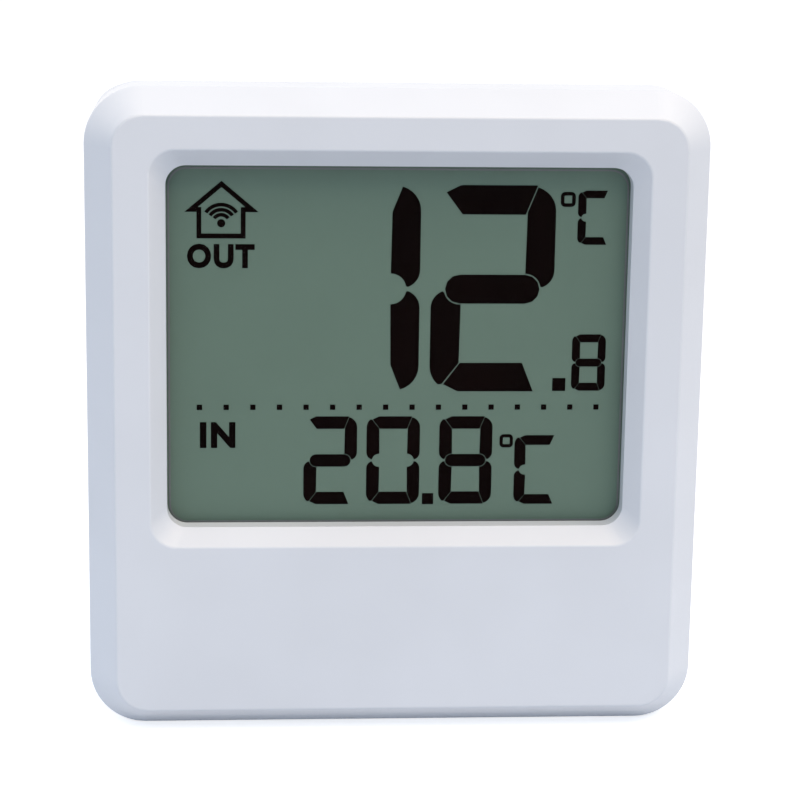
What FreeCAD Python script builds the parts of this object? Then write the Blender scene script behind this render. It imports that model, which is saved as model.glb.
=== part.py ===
import FreeCAD, Part

import math
import os

import Sketcher
from FreeCAD import Placement, Rotation, Vector

# Temperature station: a display housing with a bevelled frame, a segment display,
# a circuit board, two cells behind a snap door, three rear buttons and a folding stand.
# The origin is the middle of the footprint on the table. The front looks along -Y.
# Every length is in millimetres and every angle is in degrees.

SIZES = {
    # Outer form
    "body_width": 86.0,
    "body_height": 90.5,
    "body_depth": 24.0,
    "side_bevel": 3.95,
    "end_bevel": 3.4,
    "bevel_depth": 5.3,
    "face_corner": 4.3,
    "outer_corner": 7.8,
    "edge_round": 0.45,
    "shoulder_round": 0.6,
    # Shells
    "side_wall": 2.0,
    "face_wall": 2.2,
    "inner_face_inset": 1.0,
    "inner_slope_depth": 4.0,
    "parting_depth": 13.0,
    "parting_chamfer": 0.3,
    "tongue_height": 1.5,
    "tongue_width": 0.9,
    "tongue_gap": 0.1,
    "rear_wall": 1.9,
    "rear_top_drop": 3.0,
    "rear_bevel": 1.2,
    # Display recess
    "recess_width": 68.3,
    "recess_height": 55.3,
    "recess_top_margin": 4.6,
    "recess_corner": 3.6,
    "ramp_side": 2.2,
    "ramp_end": 2.35,
    "ramp_depth": 2.3,
    "window_corner": 2.8,
    "window_depth": 4.8,
    # Display stack
    "lens_lap": 2.0,
    "lens_thickness": 1.2,
    "lens_corner": 1.5,
    "lens_gap": 0.15,
    "lens_rim": 1.4,
    "glass_lap": 1.65,
    "glass_thickness": 1.1,
    "glass_ledge": 2.8,
    "film_inset": 0.7,
    "film_thickness": 0.2,
    "reflector_thickness": 0.3,
    "holder_wall": 1.2,
    "holder_gap": 0.15,
    "holder_back": 0.9,
    "holder_lap": 2.6,
    "holder_foot": 4.0,
    "holder_foot_sink": 2.0,
    "connector_height": 2.0,
    "connector_length": 56.0,
    "connector_gap": 0.15,
    # Circuit board
    "board_front_depth": 10.8,
    "board_thickness": 1.6,
    "board_side_gap": 1.0,
    "board_low": 4.5,
    "board_rise": 21.3,
    "board_notch_width": 8.0,
    "board_notch_height": 7.0,
    "board_post_radius": 2.2,
    "board_post_inset": 2.6,
    "board_post_drop": 3.2,
    "board_rib_inset": 5.0,
    "board_rib_low": 13.0,
    "board_rib_high": 19.0,
    "board_rib_width": 1.2,
    "pilot_radius": 0.95,
    "pilot_depth": 5.5,
    "board_screw_hole": 1.2,
    "board_screw_shank": 0.9,
    "board_screw_length": 5.0,
    "board_screw_head": 2.0,
    "board_screw_head_height": 1.3,
    # Housing screws
    "housing_screw_inset": 7.0,
    "housing_screw_z": 7.5,
    "screw_post_radius": 3.1,
    "screw_well_radius": 2.6,
    "screw_well_wall": 1.1,
    "screw_seat": 4.0,
    "housing_screw_hole": 1.3,
    "housing_screw_shank": 1.1,
    "housing_pilot_radius": 1.15,
    "housing_screw_length": 9.5,
    "housing_screw_head": 2.3,
    "housing_screw_head_height": 1.8,
    "screw_slot_width": 0.6,
    "screw_slot_depth": 0.7,
    "screw_slot_reach": 1.2,
    # Snap hooks at the top
    "hook_x": 20.0,
    "hook_width": 8.0,
    "hook_thickness": 1.4,
    "hook_gap": 0.2,
    "hook_root": 4.0,
    "hook_reach": 4.0,
    "hook_nose": 0.7,
    "hook_nose_length": 1.0,
    "hook_window_gap": 0.3,
    # Battery bay and door
    "cell_radius": 5.25,
    "cell_length": 44.5,
    "cell_nub_radius": 1.9,
    "cell_nub_length": 0.9,
    "cell_pitch": 11.2,
    "cell_gap": 0.15,
    "bay_drop": 30.7,
    "spring_room": 3.1,
    "bay_wall": 1.2,
    "bay_floor": 1.0,
    "cradle_height": 2.6,
    "cradle_width": 2.0,
    "cradle_x": 14.0,
    "door_ledge_side": 2.4,
    "door_ledge_end": 1.8,
    "door_thickness": 1.7,
    "door_gap": 0.2,
    "door_corner": 1.6,
    "door_frame_rim": 1.4,
    "door_frame_depth": 1.5,
    "tab_x": 15.0,
    "tab_width": 5.0,
    "tab_thickness": 1.0,
    "tab_reach": 1.7,
    "tab_gap": 0.2,
    "tab_slot_gap": 0.3,
    "tab_slot_depth": 3.8,
    "latch_width": 10.0,
    "latch_strip": 0.8,
    "latch_gap": 0.4,
    "latch_loop": 3.0,
    "latch_depth": 6.0,
    "latch_nose": 0.6,
    "latch_lip": 1.4,
    "latch_room": 0.9,
    "latch_wall": 1.2,
    "latch_lean": 0.8,
    "latch_grip_sink": 0.4,
    "pad_length": 40.0,
    "pad_height": 9.0,
    "pad_thickness": 0.6,
    "pad_gap": 0.2,
    # Contacts
    "contact_thickness": 0.4,
    "contact_height": 9.6,
    "contact_width": 9.0,
    "dimple_height": 0.8,
    "dimple_radius": 2.2,
    "spring_wire": 0.5,
    "spring_wide": 3.7,
    "spring_narrow": 2.1,
    "spring_turns": 2.0,
    "spring_end_gap": 0.05,
    "spring_bite": 0.05,
    "tag_width": 2.6,
    "tag_slot_gap": 0.2,
    # Keyhole
    "keyhole_drop": 10.5,
    "keyhole_head_radius": 3.5,
    "keyhole_neck_half": 1.9,
    "keyhole_neck_corner": 1.8,
    "keyhole_rise": 3.4,
    # Folding stand
    "stand_width": 34.0,
    "stand_thickness": 2.4,
    "stand_drop": 7.35,
    "stand_foot_z": 1.6,
    "stand_heel": 3.0,
    "stand_sink": 0.2,
    "stand_gap": 0.3,
    "stand_side_gap": 0.35,
    "stand_open_angle": 40.0,
    "stand_stop_gap": 0.05,
    "stand_pin_radius": 1.1,
    "stand_pin_gap": 0.05,
    "stand_pin_length": 1.6,
    "stand_cheek": 1.9,
    "stand_tray_wall": 1.6,
    "stand_corner": 3.5,
    "stand_hollow_inset": 3.2,
    "stand_hollow_depth": 1.0,
    "stand_rib": 1.2,
    "stand_grip_width": 12.0,
    "stand_grip_height": 4.0,
    # Rear buttons
    "button_inset": 15.5,
    "button_drop": 6.05,
    "button_pitch": 10.0,
    "button_radius": 3.5,
    "button_gap": 0.1,
    "button_sink": 0.1,
    "button_flange": 4.4,
    "button_flange_thickness": 1.0,
    "collar_wall": 1.3,
    "collar_depth": 3.4,
    "dome_radius": 2.6,
    "dome_crown_thickness": 1.4,
    "dome_bore": 1.9,
    # Vents
    "vent_inset": 15.0,
    "vent_low": 12.0,
    "vent_pitch": 3.4,
    "vent_count": 5.0,
    "vent_width": 10.0,
    "vent_height": 1.3,
    # Electronics
    "receiver_width": 28.0,
    "receiver_low": 7.5,
    "receiver_gap": 3.25,
    "receiver_thickness": 1.0,
    "header_height": 2.4,
    "header_pitch": 2.54,
    "header_bar": 2.5,
    "header_pin": 0.64,
    "header_stub": 0.8,
    "header_hole": 1.0,
    "receiver_chip_width": 7.0,
    "receiver_chip_inset": 1.0,
    "receiver_chip_height": 4.0,
    "receiver_chip_thickness": 1.5,
    "antenna_radius": 0.5,
    "antenna_start": 12.0,
    "antenna_reach": 30.0,
    "antenna_fall": 3.5,
    "antenna_lift": 2.4,
    "antenna_bend": 1.5,
    "blob_radius": 6.5,
    "blob_top_radius": 4.4,
    "blob_height": 1.5,
    "blob_x": -9.0,
    "blob_drop": 14.4,
    "crystal_radius": 1.0,
    "crystal_length": 6.0,
    "crystal_x": 6.0,
    "crystal_drop": 16.4,
    "capacitor_radius": 2.5,
    "capacitor_height": 5.4,
    "capacitor_x": 12.0,
    "capacitor_drop": 24.4,
    "probe_radius": 1.2,
    "probe_x": -28.0,
    "probe_z": 10.0,
    "probe_reach": 3.5,
    "probe_length": 3.0,
    "probe_lead": 0.3,
    "lead_radius": 0.5,
    "lead_bend": 2.5,
    "lead_tight_bend": 0.8,
}

# A straight corner that touches a round takes this share of its radius from each side.
CORNER_SHARE = 2 - math.sqrt(2)
QUARTER_TURN = math.pi / 2
# The bent wires have few sides, which keeps their surfaces light.
WIRE_SIDES = 6
SIDES = (("left", -1), ("right", 1))

doc = FreeCAD.newDocument("temperature_station")
sheet = doc.addObject("Spreadsheet::Sheet", "sizes")
sub_parts = []


class Size:
    """A size that knows both its number and the cell expression that gives it."""

    def __init__(self, number, text):
        self.number = number
        self.text = text

    def __add__(self, other):
        other = as_size(other)
        return Size(self.number + other.number, f"({self.text} + {other.text})")

    def __sub__(self, other):
        other = as_size(other)
        return Size(self.number - other.number, f"({self.text} - {other.text})")

    def __mul__(self, other):
        other = as_size(other)
        return Size(self.number * other.number, f"({self.text} * {other.text})")

    def __truediv__(self, other):
        other = as_size(other)
        return Size(self.number / other.number, f"({self.text} / {other.text})")

    def __neg__(self):
        return Size(-self.number, f"(0 - {self.text})")


def as_size(value):
    return value if isinstance(value, Size) else Size(float(value), repr(float(value)))


def sine(angle):
    return Size(math.sin(math.radians(angle.number)), f"sin({angle.text})")


def cosine(angle):
    return Size(math.cos(math.radians(angle.number)), f"cos({angle.text})")


class Sizes:
    """The spreadsheet cells by name."""


s = Sizes()
for row, (alias, number) in enumerate(SIZES.items(), start=1):
    sheet.set(f"A{row}", alias)
    sheet.set(f"B{row}", str(number))
    sheet.setAlias(f"B{row}", alias)
    setattr(s, alias, Size(number, f"sizes.{alias}"))
doc.recompute()

# Places along Y, from the front to the rear
front = -s.body_depth / 2
rear = s.body_depth / 2
bevel_y = front + s.bevel_depth
parting = front + s.parting_depth
face_inside = front + s.face_wall
ramp_y = front + s.ramp_depth
lens_front = front + s.window_depth
lens_back = lens_front + s.lens_thickness
film_back = lens_back + s.film_thickness
front_glass_back = film_back + s.glass_thickness
rear_glass_back = front_glass_back + s.glass_thickness
stack_back = rear_glass_back + s.reflector_thickness
holder_back = stack_back + s.holder_back
board_front = front + s.board_front_depth
board_back = board_front + s.board_thickness
rear_inside = rear - s.rear_wall
door_inside = rear - s.door_thickness
cell_y = door_inside - s.pad_thickness - s.pad_gap - s.cell_radius
bay_floor_y = cell_y - s.cell_radius - s.cell_gap

# Outlines seen from the front, as left, right, low and high
half_width = s.body_width / 2
outer_box = (-half_width, half_width, as_size(0), s.body_height)


def inset(box, sides, low, high=None):
    """Draw an outline in from another one, by one distance for each pair of edges."""
    if high is None:
        high = low
    return (box[0] + sides, box[1] - sides, box[2] + low, box[3] - high)


face_box = inset(outer_box, s.side_bevel, s.end_bevel)
inner_box = inset(outer_box, s.side_wall, s.side_wall)
recess_high = face_box[3] - s.recess_top_margin
recess_box = (-s.recess_width / 2, s.recess_width / 2, recess_high - s.recess_height, recess_high)
window_box = inset(recess_box, s.ramp_side, s.ramp_end)
lens_box = inset(window_box, -s.lens_lap, -s.lens_lap)
rim_box = inset(lens_box, -s.lens_gap - s.lens_rim, -s.lens_gap - s.lens_rim)
glass_box = inset(window_box, -s.glass_lap, -s.glass_lap)
ledge_box = (glass_box[0], glass_box[1], glass_box[2] - s.glass_ledge, glass_box[3])
film_box = inset(glass_box, s.film_inset, s.film_inset)
holder_hollow = inset(ledge_box, -s.holder_gap, -s.holder_gap)
holder_box = inset(holder_hollow, -s.holder_wall, -s.holder_wall)
connector_z = ledge_box[2] + s.glass_ledge / 2
connector_box = (
    -s.connector_length / 2,
    s.connector_length / 2,
    connector_z - s.connector_height / 2,
    connector_z + s.connector_height / 2,
)
board_half = half_width - s.side_wall - s.board_side_gap
board_high = ledge_box[2] + s.board_rise
board_box = (-board_half, board_half, s.board_low, board_high)
bay_half_length = (s.cell_length + s.contact_thickness * 2 + s.dimple_height + s.spring_room) / 2
bay_half_height = s.cell_pitch / 2 + s.cell_radius + s.cell_gap * 2
bay_middle_z = s.body_height - s.bay_drop
bay_box = (
    -bay_half_length,
    bay_half_length,
    bay_middle_z - bay_half_height,
    bay_middle_z + bay_half_height,
)
bay_outer = inset(bay_box, -s.bay_wall, -s.bay_wall)
door_hole = inset(bay_box, -s.door_ledge_side, -s.door_ledge_end)
door_box = inset(door_hole, s.door_gap, s.door_gap)
door_frame = inset(door_hole, -s.door_frame_rim, -s.door_frame_rim)

# Places of things that repeat
board_post_x = board_half - s.board_post_inset
board_post_z = board_high - s.board_post_drop
board_posts = [(-board_post_x, board_post_z), (board_post_x, board_post_z)]
board_rib_x = board_half - s.board_rib_inset
housing_screw_x = half_width - s.housing_screw_inset
housing_screws = [(-housing_screw_x, s.housing_screw_z), (housing_screw_x, s.housing_screw_z)]
button_x = half_width - s.button_inset
button_top_z = door_frame[2] - s.button_drop
button_places = [button_top_z - s.button_pitch * step for step in (2, 1, 0)]
vent_x = half_width - s.vent_inset
keyhole_z = s.body_height - s.keyhole_drop

# Stand places: the pivot axis, and the slope that stops the heel
stand_pivot_z = door_hole[2] - s.stand_drop
stand_back = rear - s.stand_sink
stand_front = stand_back - s.stand_thickness
pivot_y = stand_back - s.stand_thickness / 2
tray_floor = stand_front - s.stand_gap
stand_half = s.stand_width / 2
tray_half = stand_half + s.stand_side_gap
cheek_half = tray_half + s.stand_cheek
stand_heel_z = stand_pivot_z + s.stand_heel
tray_high = stand_heel_z + s.stand_gap + s.stand_side_gap


def new_body(label):
    body = doc.addObject("PartDesign::Body", label)
    body.Label = label
    body.AllowCompound = True
    sub_parts.append(body)
    return body


def new_sketch(body, name, plane, place):
    """Lay a sketch on one of the body's origin planes, moved to a place along its axis."""
    sketch = body.newObject("Sketcher::SketchObject", name)
    base = next(feature for feature in body.Origin.OriginFeatures if feature.Role == plane)
    sketch.AttachmentSupport = (base, [""])
    sketch.MapMode = "FlatFace"
    offset = -place if plane == "XZ_Plane" else as_size(place)
    sketch.AttachmentOffset = Placement(Vector(0, 0, offset.number), Rotation())
    sketch.setExpression("AttachmentOffset.Base.z", offset.text)
    return sketch


def bind_constraint(sketch, constraint, size):
    index = sketch.addConstraint(constraint)
    sketch.setExpression(f"Constraints[{index}]", size.text)


def place_point(sketch, edge, point, across, up):
    """Hold a point of an edge at a place measured from the sketch's origin."""
    for kind, size in (("DistanceX", across), ("DistanceY", up)):
        size = as_size(size)
        constraint = Sketcher.Constraint(kind, -1, 1, edge, point, size.number)
        bind_constraint(sketch, constraint, size)


def draw_polygon(points):
    """Return a drawing of a closed outline with sharp corners."""

    def draw(sketch):
        first = len(sketch.Geometry)
        corners = [(as_size(across), as_size(up)) for across, up in points]
        count = len(corners)
        for index in range(count):
            start = corners[index]
            end = corners[(index + 1) % count]
            start_point = Vector(start[0].number, start[1].number, 0)
            end_point = Vector(end[0].number, end[1].number, 0)
            sketch.addGeometry(Part.LineSegment(start_point, end_point))
        for index in range(count):
            following = first + (index + 1) % count
            sketch.addConstraint(Sketcher.Constraint("Coincident", first + index, 2, following, 1))
        for index, (across, up) in enumerate(corners):
            place_point(sketch, first + index, 1, across, up)

    return draw


def draw_box(box):
    left, right, low, high = box
    return draw_polygon([(left, low), (right, low), (right, high), (left, high)])


def draw_clipped(box, radius):
    """Return a drawing of a rectangle with straight corners that touch rounds of one radius."""
    left, right, low, high = (as_size(edge) for edge in box)
    cut = as_size(radius) * CORNER_SHARE
    return draw_polygon(
        [
            (left + cut, low),
            (right - cut, low),
            (right, low + cut),
            (right, high - cut),
            (right - cut, high),
            (left + cut, high),
            (left, high - cut),
            (left, low + cut),
        ]
    )


def draw_rounded(box, radius):
    """Return a drawing of a rectangle with rounded corners."""

    def draw(sketch):
        first = len(sketch.Geometry)
        left, right, low, high = (as_size(edge).number for edge in box)
        reach = radius.number
        centres = [
            (right - reach, low + reach),
            (right - reach, high - reach),
            (left + reach, high - reach),
            (left + reach, low + reach),
        ]
        for index, (across, up) in enumerate(centres):
            circle = Part.Circle(Vector(across, up, 0), Vector(0, 0, 1), reach)
            begin = (index - 1) * QUARTER_TURN
            sketch.addGeometry(Part.ArcOfCircle(circle, begin, begin + QUARTER_TURN))
        for index in range(4):
            start = sketch.Geometry[first + index].EndPoint
            end = sketch.Geometry[first + (index + 1) % 4].StartPoint
            sketch.addGeometry(Part.LineSegment(start, end))
        for index in range(4):
            arc = first + index
            line = first + 4 + index
            following = first + (index + 1) % 4
            direction = "Vertical" if index % 2 == 0 else "Horizontal"
            sketch.addConstraint(Sketcher.Constraint("Tangent", arc, 2, line, 1))
            sketch.addConstraint(Sketcher.Constraint("Tangent", line, 2, following, 1))
            sketch.addConstraint(Sketcher.Constraint(direction, line))
            bind_constraint(sketch, Sketcher.Constraint("Radius", arc, radius.number), radius)
        for index, size in enumerate((box[1], box[3], box[0], box[2])):
            size = as_size(size)
            line = first + 4 + index
            kind = "DistanceX" if index % 2 == 0 else "DistanceY"
            bind_constraint(sketch, Sketcher.Constraint(kind, -1, 1, line, 1, size.number), size)

    return draw


def draw_circles(places, radius):
    """Return a drawing of equal circles, one at each place."""

    def draw(sketch):
        for across, up in places:
            across, up = as_size(across), as_size(up)
            centre = Vector(across.number, up.number, 0)
            edge = sketch.addGeometry(Part.Circle(centre, Vector(0, 0, 1), radius.number))
            place_point(sketch, edge, 3, across, up)
            bind_constraint(sketch, Sketcher.Constraint("Radius", edge, radius.number), radius)

    return draw


def draw_all(*drawings):
    def draw(sketch):
        for drawing in drawings:
            drawing(sketch)

    return draw


def prism(body, name, drawing, start, end, plane="XZ_Plane", cut=False):
    """Add or cut a drawing between two places along the normal of its plane."""
    start, end = as_size(start), as_size(end)
    sketch = new_sketch(body, f"{name}_outline", plane, start)
    drawing(sketch)
    before = body.Shape.Volume if cut else 0.0
    feature = body.newObject("PartDesign::Pocket" if cut else "PartDesign::Pad", name)
    feature.Profile = sketch
    length = end - start
    feature.Length = length.number
    feature.setExpression("Length", length.text)
    feature.Reversed = (plane == "XZ_Plane") != cut
    doc.recompute()
    if cut and body.Shape.Volume >= before:
        raise RuntimeError(f"{name} cuts nothing from {body.Label}")
    return feature


def cut_prism(body, name, drawing, start, end, plane="XZ_Plane"):
    return prism(body, name, drawing, start, end, plane, cut=True)


def loft(body, name, drawings, places, cut=False):
    """Join two outlines that lie at two places along Y with straight sides."""
    sketches = []
    for index, (drawing, place) in enumerate(zip(drawings, places)):
        sketch = new_sketch(body, f"{name}_outline_{index}", "XZ_Plane", place)
        drawing(sketch)
        sketches.append(sketch)
    doc.recompute()
    feature = body.newObject("PartDesign::SubtractiveLoft" if cut else "PartDesign::AdditiveLoft", name)
    feature.Profile = sketches[0]
    feature.Sections = sketches[1:]
    feature.Ruled = True
    doc.recompute()
    return feature


def turn(body, name, plane, axis, points):
    """Turn a profile about the sketch's own axis."""
    sketch = new_sketch(body, f"{name}_profile", plane, as_size(0))
    draw_polygon(points)(sketch)
    feature = body.newObject("PartDesign::Revolution", name)
    feature.Profile = sketch
    feature.ReferenceAxis = (sketch, [axis])
    feature.Angle = 360
    doc.recompute()
    return feature


def edges_where(feature, test):
    """Name the edges whose box passes a test."""
    return [
        f"Edge{index}"
        for index, edge in enumerate(feature.Shape.Edges, start=1)
        if test(edge.BoundBox)
    ]


def dress(body, kind, name, test, size):
    """Round or chamfer the edges of the body's last feature that pass a test."""
    base = body.Tip
    names = edges_where(base, test)
    if not names:
        raise RuntimeError(f"{name} finds no edges on {body.Label}")
    feature = body.newObject(f"PartDesign::{kind}", name)
    feature.Base = (base, names)
    target = "Radius" if kind == "Fillet" else "Size"
    setattr(feature, target, size.number)
    feature.setExpression(target, size.text)
    doc.recompute()
    return feature


def lies_at_y(place):
    """Return a test for edges that lie flat at one place along Y."""

    def test(box):
        return abs(box.YMin - place.number) < 0.001 and abs(box.YMax - place.number) < 0.001

    return test


def place_body(body, across=0, along=0, up=0, rotation=None):
    """Stand a body at its place, with its coordinates bound to the sheet."""
    sizes = [as_size(value) for value in (across, along, up)]
    spot = Vector(*(size.number for size in sizes))
    body.Placement = Placement(spot, rotation or Rotation())
    for axis, size in zip("xyz", sizes):
        body.setExpression(f"Placement.Base.{axis}", size.text)
    doc.recompute()


def biarc(start, start_way, end, end_way):
    """Join two points with two arcs that meet smoothly, given the way of travel at each."""
    chord = end - start
    ways = start_way + end_way
    slope = chord.dot(ways)
    spread = 2 * (1 - start_way.dot(end_way))
    if spread < 1e-9:
        step = chord.dot(chord) / (4 * chord.dot(end_way))
    else:
        step = (-slope + math.sqrt(slope * slope + spread * chord.dot(chord))) / spread
    knee_start = start + start_way * step
    knee_end = end - end_way * step
    middle = (knee_start + knee_end) * 0.5
    return [
        tangent_arc(start, start_way, middle),
        tangent_arc(middle, (knee_end - knee_start).normalize(), end),
    ]


def tangent_arc(start, way, end):
    """Draw the arc that leaves a point along a way and ends at another point."""
    chord = end - start
    side = chord - way * chord.dot(way)
    if side.Length < 1e-7:
        return Part.makeLine(start, end)
    side.normalize()
    radius = chord.dot(chord) / (2 * chord.dot(side))
    centre = start + side * radius
    half = (start + end) * 0.5 - centre
    if half.Length < 1e-7:
        half = Vector(way)
    if chord.dot(way) < 0:
        half = -half
    middle = centre + half.normalize() * radius
    return Part.Arc(start, middle, end).toShape()


def sweep_wire(edges, radius):
    """Sweep a six-sided section along a smooth path."""
    path = Part.Wire(edges)
    first = path.Edges[0]
    start = first.valueAt(first.FirstParameter)
    way = first.tangentAt(first.FirstParameter)
    across = way.cross(Vector(0, 0, 1))
    if across.Length < 0.1:
        across = way.cross(Vector(1, 0, 0))
    across.normalize()
    up = way.cross(across)
    corners = []
    for index in range(WIRE_SIDES):
        angle = 2 * math.pi * index / WIRE_SIDES
        corners.append(start + across * (radius * math.cos(angle)) + up * (radius * math.sin(angle)))
    section = Part.makePolygon(corners + corners[:1])
    return path.makePipeShell([section], True, False)


def coil_points(turns, start_radius, end_radius, pitch, steps=4):
    """Return points and ways of travel on a coil that climbs along X."""
    count = int(round(turns * steps))
    points = []
    for index in range(count + 1):
        angle = 2 * math.pi * index / steps
        share = index / count
        radius = start_radius + (end_radius - start_radius) * share
        widening = (end_radius - start_radius) / (2 * math.pi * turns)
        point = Vector(pitch * index / steps, radius * math.cos(angle), radius * math.sin(angle))
        way = Vector(
            pitch / (2 * math.pi),
            widening * math.cos(angle) - radius * math.sin(angle),
            widening * math.sin(angle) + radius * math.cos(angle),
        )
        points.append((point, way.normalize()))
    return points


def coil_path(points, wire):
    """Join coil points with arcs and add a straight end, one wire thick, at each end."""
    first, first_way = points[0]
    last, last_way = points[-1]
    edges = [Part.makeLine(first - first_way * wire, first)]
    for (start, start_way), (end, end_way) in zip(points, points[1:]):
        edges.extend(biarc(start, start_way, end, end_way))
    edges.append(Part.makeLine(last, last + last_way * wire))
    return edges


def rounded_path(corners, bend):
    """Join points with straight runs and an arc of one radius at each corner."""
    edges = []
    here = corners[0]
    for corner, after in zip(corners[1:], corners[2:]):
        into = (corner - here).normalize()
        out = (after - corner).normalize()
        turn_angle = into.getAngle(out)
        reach = bend * math.tan(turn_angle / 2)
        begin = corner - into * reach
        end = corner + out * reach
        edges.append(Part.makeLine(here, begin))
        edges.append(tangent_arc(begin, into, end))
        here = end
    edges.append(Part.makeLine(here, corners[-1]))
    return edges


def make_front_housing():
    """Moulded front shell: bevelled frame, ramped display recess, posts and rabbet."""
    body = new_body("front_housing")
    outer = draw_rounded(outer_box, s.outer_corner)
    loft(body, "bevel", [draw_rounded(face_box, s.face_corner), outer], [front, bevel_y])
    prism(body, "side_walls", outer, bevel_y, parting)
    slope_end = face_inside + s.inner_slope_depth
    inner_face = inset(face_box, s.inner_face_inset, s.inner_face_inset)
    inner = draw_clipped(inner_box, s.outer_corner)
    slope = [draw_clipped(inner_face, s.face_corner), inner]
    loft(body, "hollow_slope", slope, [face_inside, slope_end], cut=True)
    cut_prism(body, "hollow", inner, slope_end, parting)
    rabbet_reach = s.tongue_width + s.tongue_gap
    rabbet = draw_clipped(inset(inner_box, -rabbet_reach, -rabbet_reach), s.outer_corner + rabbet_reach)
    cut_prism(body, "rabbet", rabbet, parting - s.tongue_height - s.tongue_gap, parting)
    prism(body, "lens_rim", draw_box(rim_box), face_inside, lens_back)
    prism(body, "board_posts", draw_circles(board_posts, s.board_post_radius), face_inside, board_front)
    rib_half = s.board_rib_width / 2
    ribs = [
        draw_box((x - rib_half, x + rib_half, s.board_rib_low, s.board_rib_high))
        for x in (-board_rib_x, board_rib_x)
    ]
    prism(body, "board_ribs", draw_all(*ribs), face_inside, board_front)
    screw_posts = draw_circles(housing_screws, s.screw_post_radius)
    prism(body, "screw_posts", screw_posts, face_inside, parting)
    window = draw_rounded(window_box, s.window_corner)
    ramp = [draw_rounded(recess_box, s.recess_corner), window]
    loft(body, "recess_ramp", ramp, [front, ramp_y], cut=True)
    cut_prism(body, "window", window, ramp_y, lens_front)
    lens_seat = draw_clipped(inset(lens_box, -s.lens_gap, -s.lens_gap), s.lens_corner)
    cut_prism(body, "lens_seat", lens_seat, lens_front, lens_back)
    pilots = draw_circles(board_posts, s.pilot_radius)
    cut_prism(body, "board_pilots", pilots, board_front - s.pilot_depth, board_front)
    screw_pilots = draw_circles(housing_screws, s.housing_pilot_radius)
    cut_prism(body, "screw_pilots", screw_pilots, parting - s.housing_screw_length, parting)
    window_high = inner_box[3] + s.hook_nose + s.hook_window_gap
    nose_start = parting - s.hook_reach - s.hook_window_gap
    nose_end = nose_start + s.hook_nose_length + s.hook_window_gap * 2
    reach = s.hook_width / 2 + s.hook_window_gap
    hook_windows = [
        draw_box((x - reach, x + reach, inner_box[3] - s.hook_gap, window_high))
        for x in (-s.hook_x, s.hook_x)
    ]
    cut_prism(body, "hook_windows", draw_all(*hook_windows), nose_start, nose_end)
    dress(body, "Fillet", "face_round", lies_at_y(front), s.edge_round)
    dress(body, "Fillet", "shoulder_round", outer_edge_at(bevel_y), s.shoulder_round)
    dress(body, "Chamfer", "parting_edge", outer_edge_at(parting), s.parting_chamfer)


def outer_edge_at(place):
    """Return a test for the outermost edges at one place along Y."""
    level = lies_at_y(place)

    def test(box):
        across = max(abs(box.XMin), abs(box.XMax))
        side = across > half_width.number - 0.01
        low = box.ZMin < 0.01
        high = box.ZMax > s.body_height.number - 0.01
        return level(box) and (side or low or high)

    return test


def make_rear_housing():
    """Moulded rear shell: battery bay, stand tray, button guides, vents and keyhole."""
    body = new_body("rear_housing")
    prism(body, "shell", draw_rounded(outer_box, s.outer_corner), parting, rear)
    dress(body, "Chamfer", "parting_edge", lies_at_y(parting), s.parting_chamfer)
    dress(body, "Chamfer", "rear_edge", lies_at_y(rear), s.rear_bevel)
    drop_end = s.body_height - s.rear_top_drop
    top_slope = [
        (parting + s.parting_chamfer, s.body_height),
        (rear - s.rear_bevel, drop_end),
        (rear, drop_end - s.rear_bevel),
        (rear, s.body_height),
    ]
    cut_prism(body, "top_slope", draw_polygon(top_slope), -half_width, half_width, "YZ_Plane")
    inner = draw_clipped(inner_box, s.outer_corner)
    rear_inner = draw_clipped(inset(inner_box, as_size(0), as_size(0), s.rear_top_drop), s.outer_corner)
    loft(body, "hollow", [inner, rear_inner], [parting, rear_inside], cut=True)
    tongue_outer = draw_clipped(
        inset(inner_box, -s.tongue_width, -s.tongue_width), s.outer_corner + s.tongue_width
    )
    prism(body, "tongue", draw_all(tongue_outer, inner), parting - s.tongue_height, parting)
    make_screw_wells(body)
    make_stand_tray(body)
    make_battery_bay(body)
    make_button_guides(body)
    make_hooks(body)
    head = draw_circles([(0, keyhole_z)], s.keyhole_head_radius)
    neck_half = s.keyhole_neck_half
    neck_box = (-neck_half, neck_half, keyhole_z, keyhole_z + s.keyhole_rise + neck_half)
    cut_prism(body, "keyhole_head", head, rear_inside, rear)
    cut_prism(body, "keyhole_neck", draw_rounded(neck_box, s.keyhole_neck_corner), rear_inside, rear)
    vents = []
    for index in range(int(s.vent_count.number)):
        low = s.vent_low + s.vent_pitch * index
        half = s.vent_width / 2
        vents.append(draw_box((-vent_x - half, -vent_x + half, low, low + s.vent_height)))
    cut_prism(body, "vents", draw_all(*vents), rear_inside, rear)


def make_screw_wells(body):
    """Towers that carry the screw heads and meet the posts of the front shell."""
    half = s.screw_well_radius + s.screw_well_wall
    towers = [draw_box((x - half, x + half, z - half, z + half)) for x, z in housing_screws]
    prism(body, "screw_towers", draw_all(*towers), parting, rear_inside)
    seat = parting + s.screw_seat
    cut_prism(body, "screw_wells", draw_circles(housing_screws, s.screw_well_radius), seat, rear)
    cut_prism(body, "screw_holes", draw_circles(housing_screws, s.housing_screw_hole), parting, seat)


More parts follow.
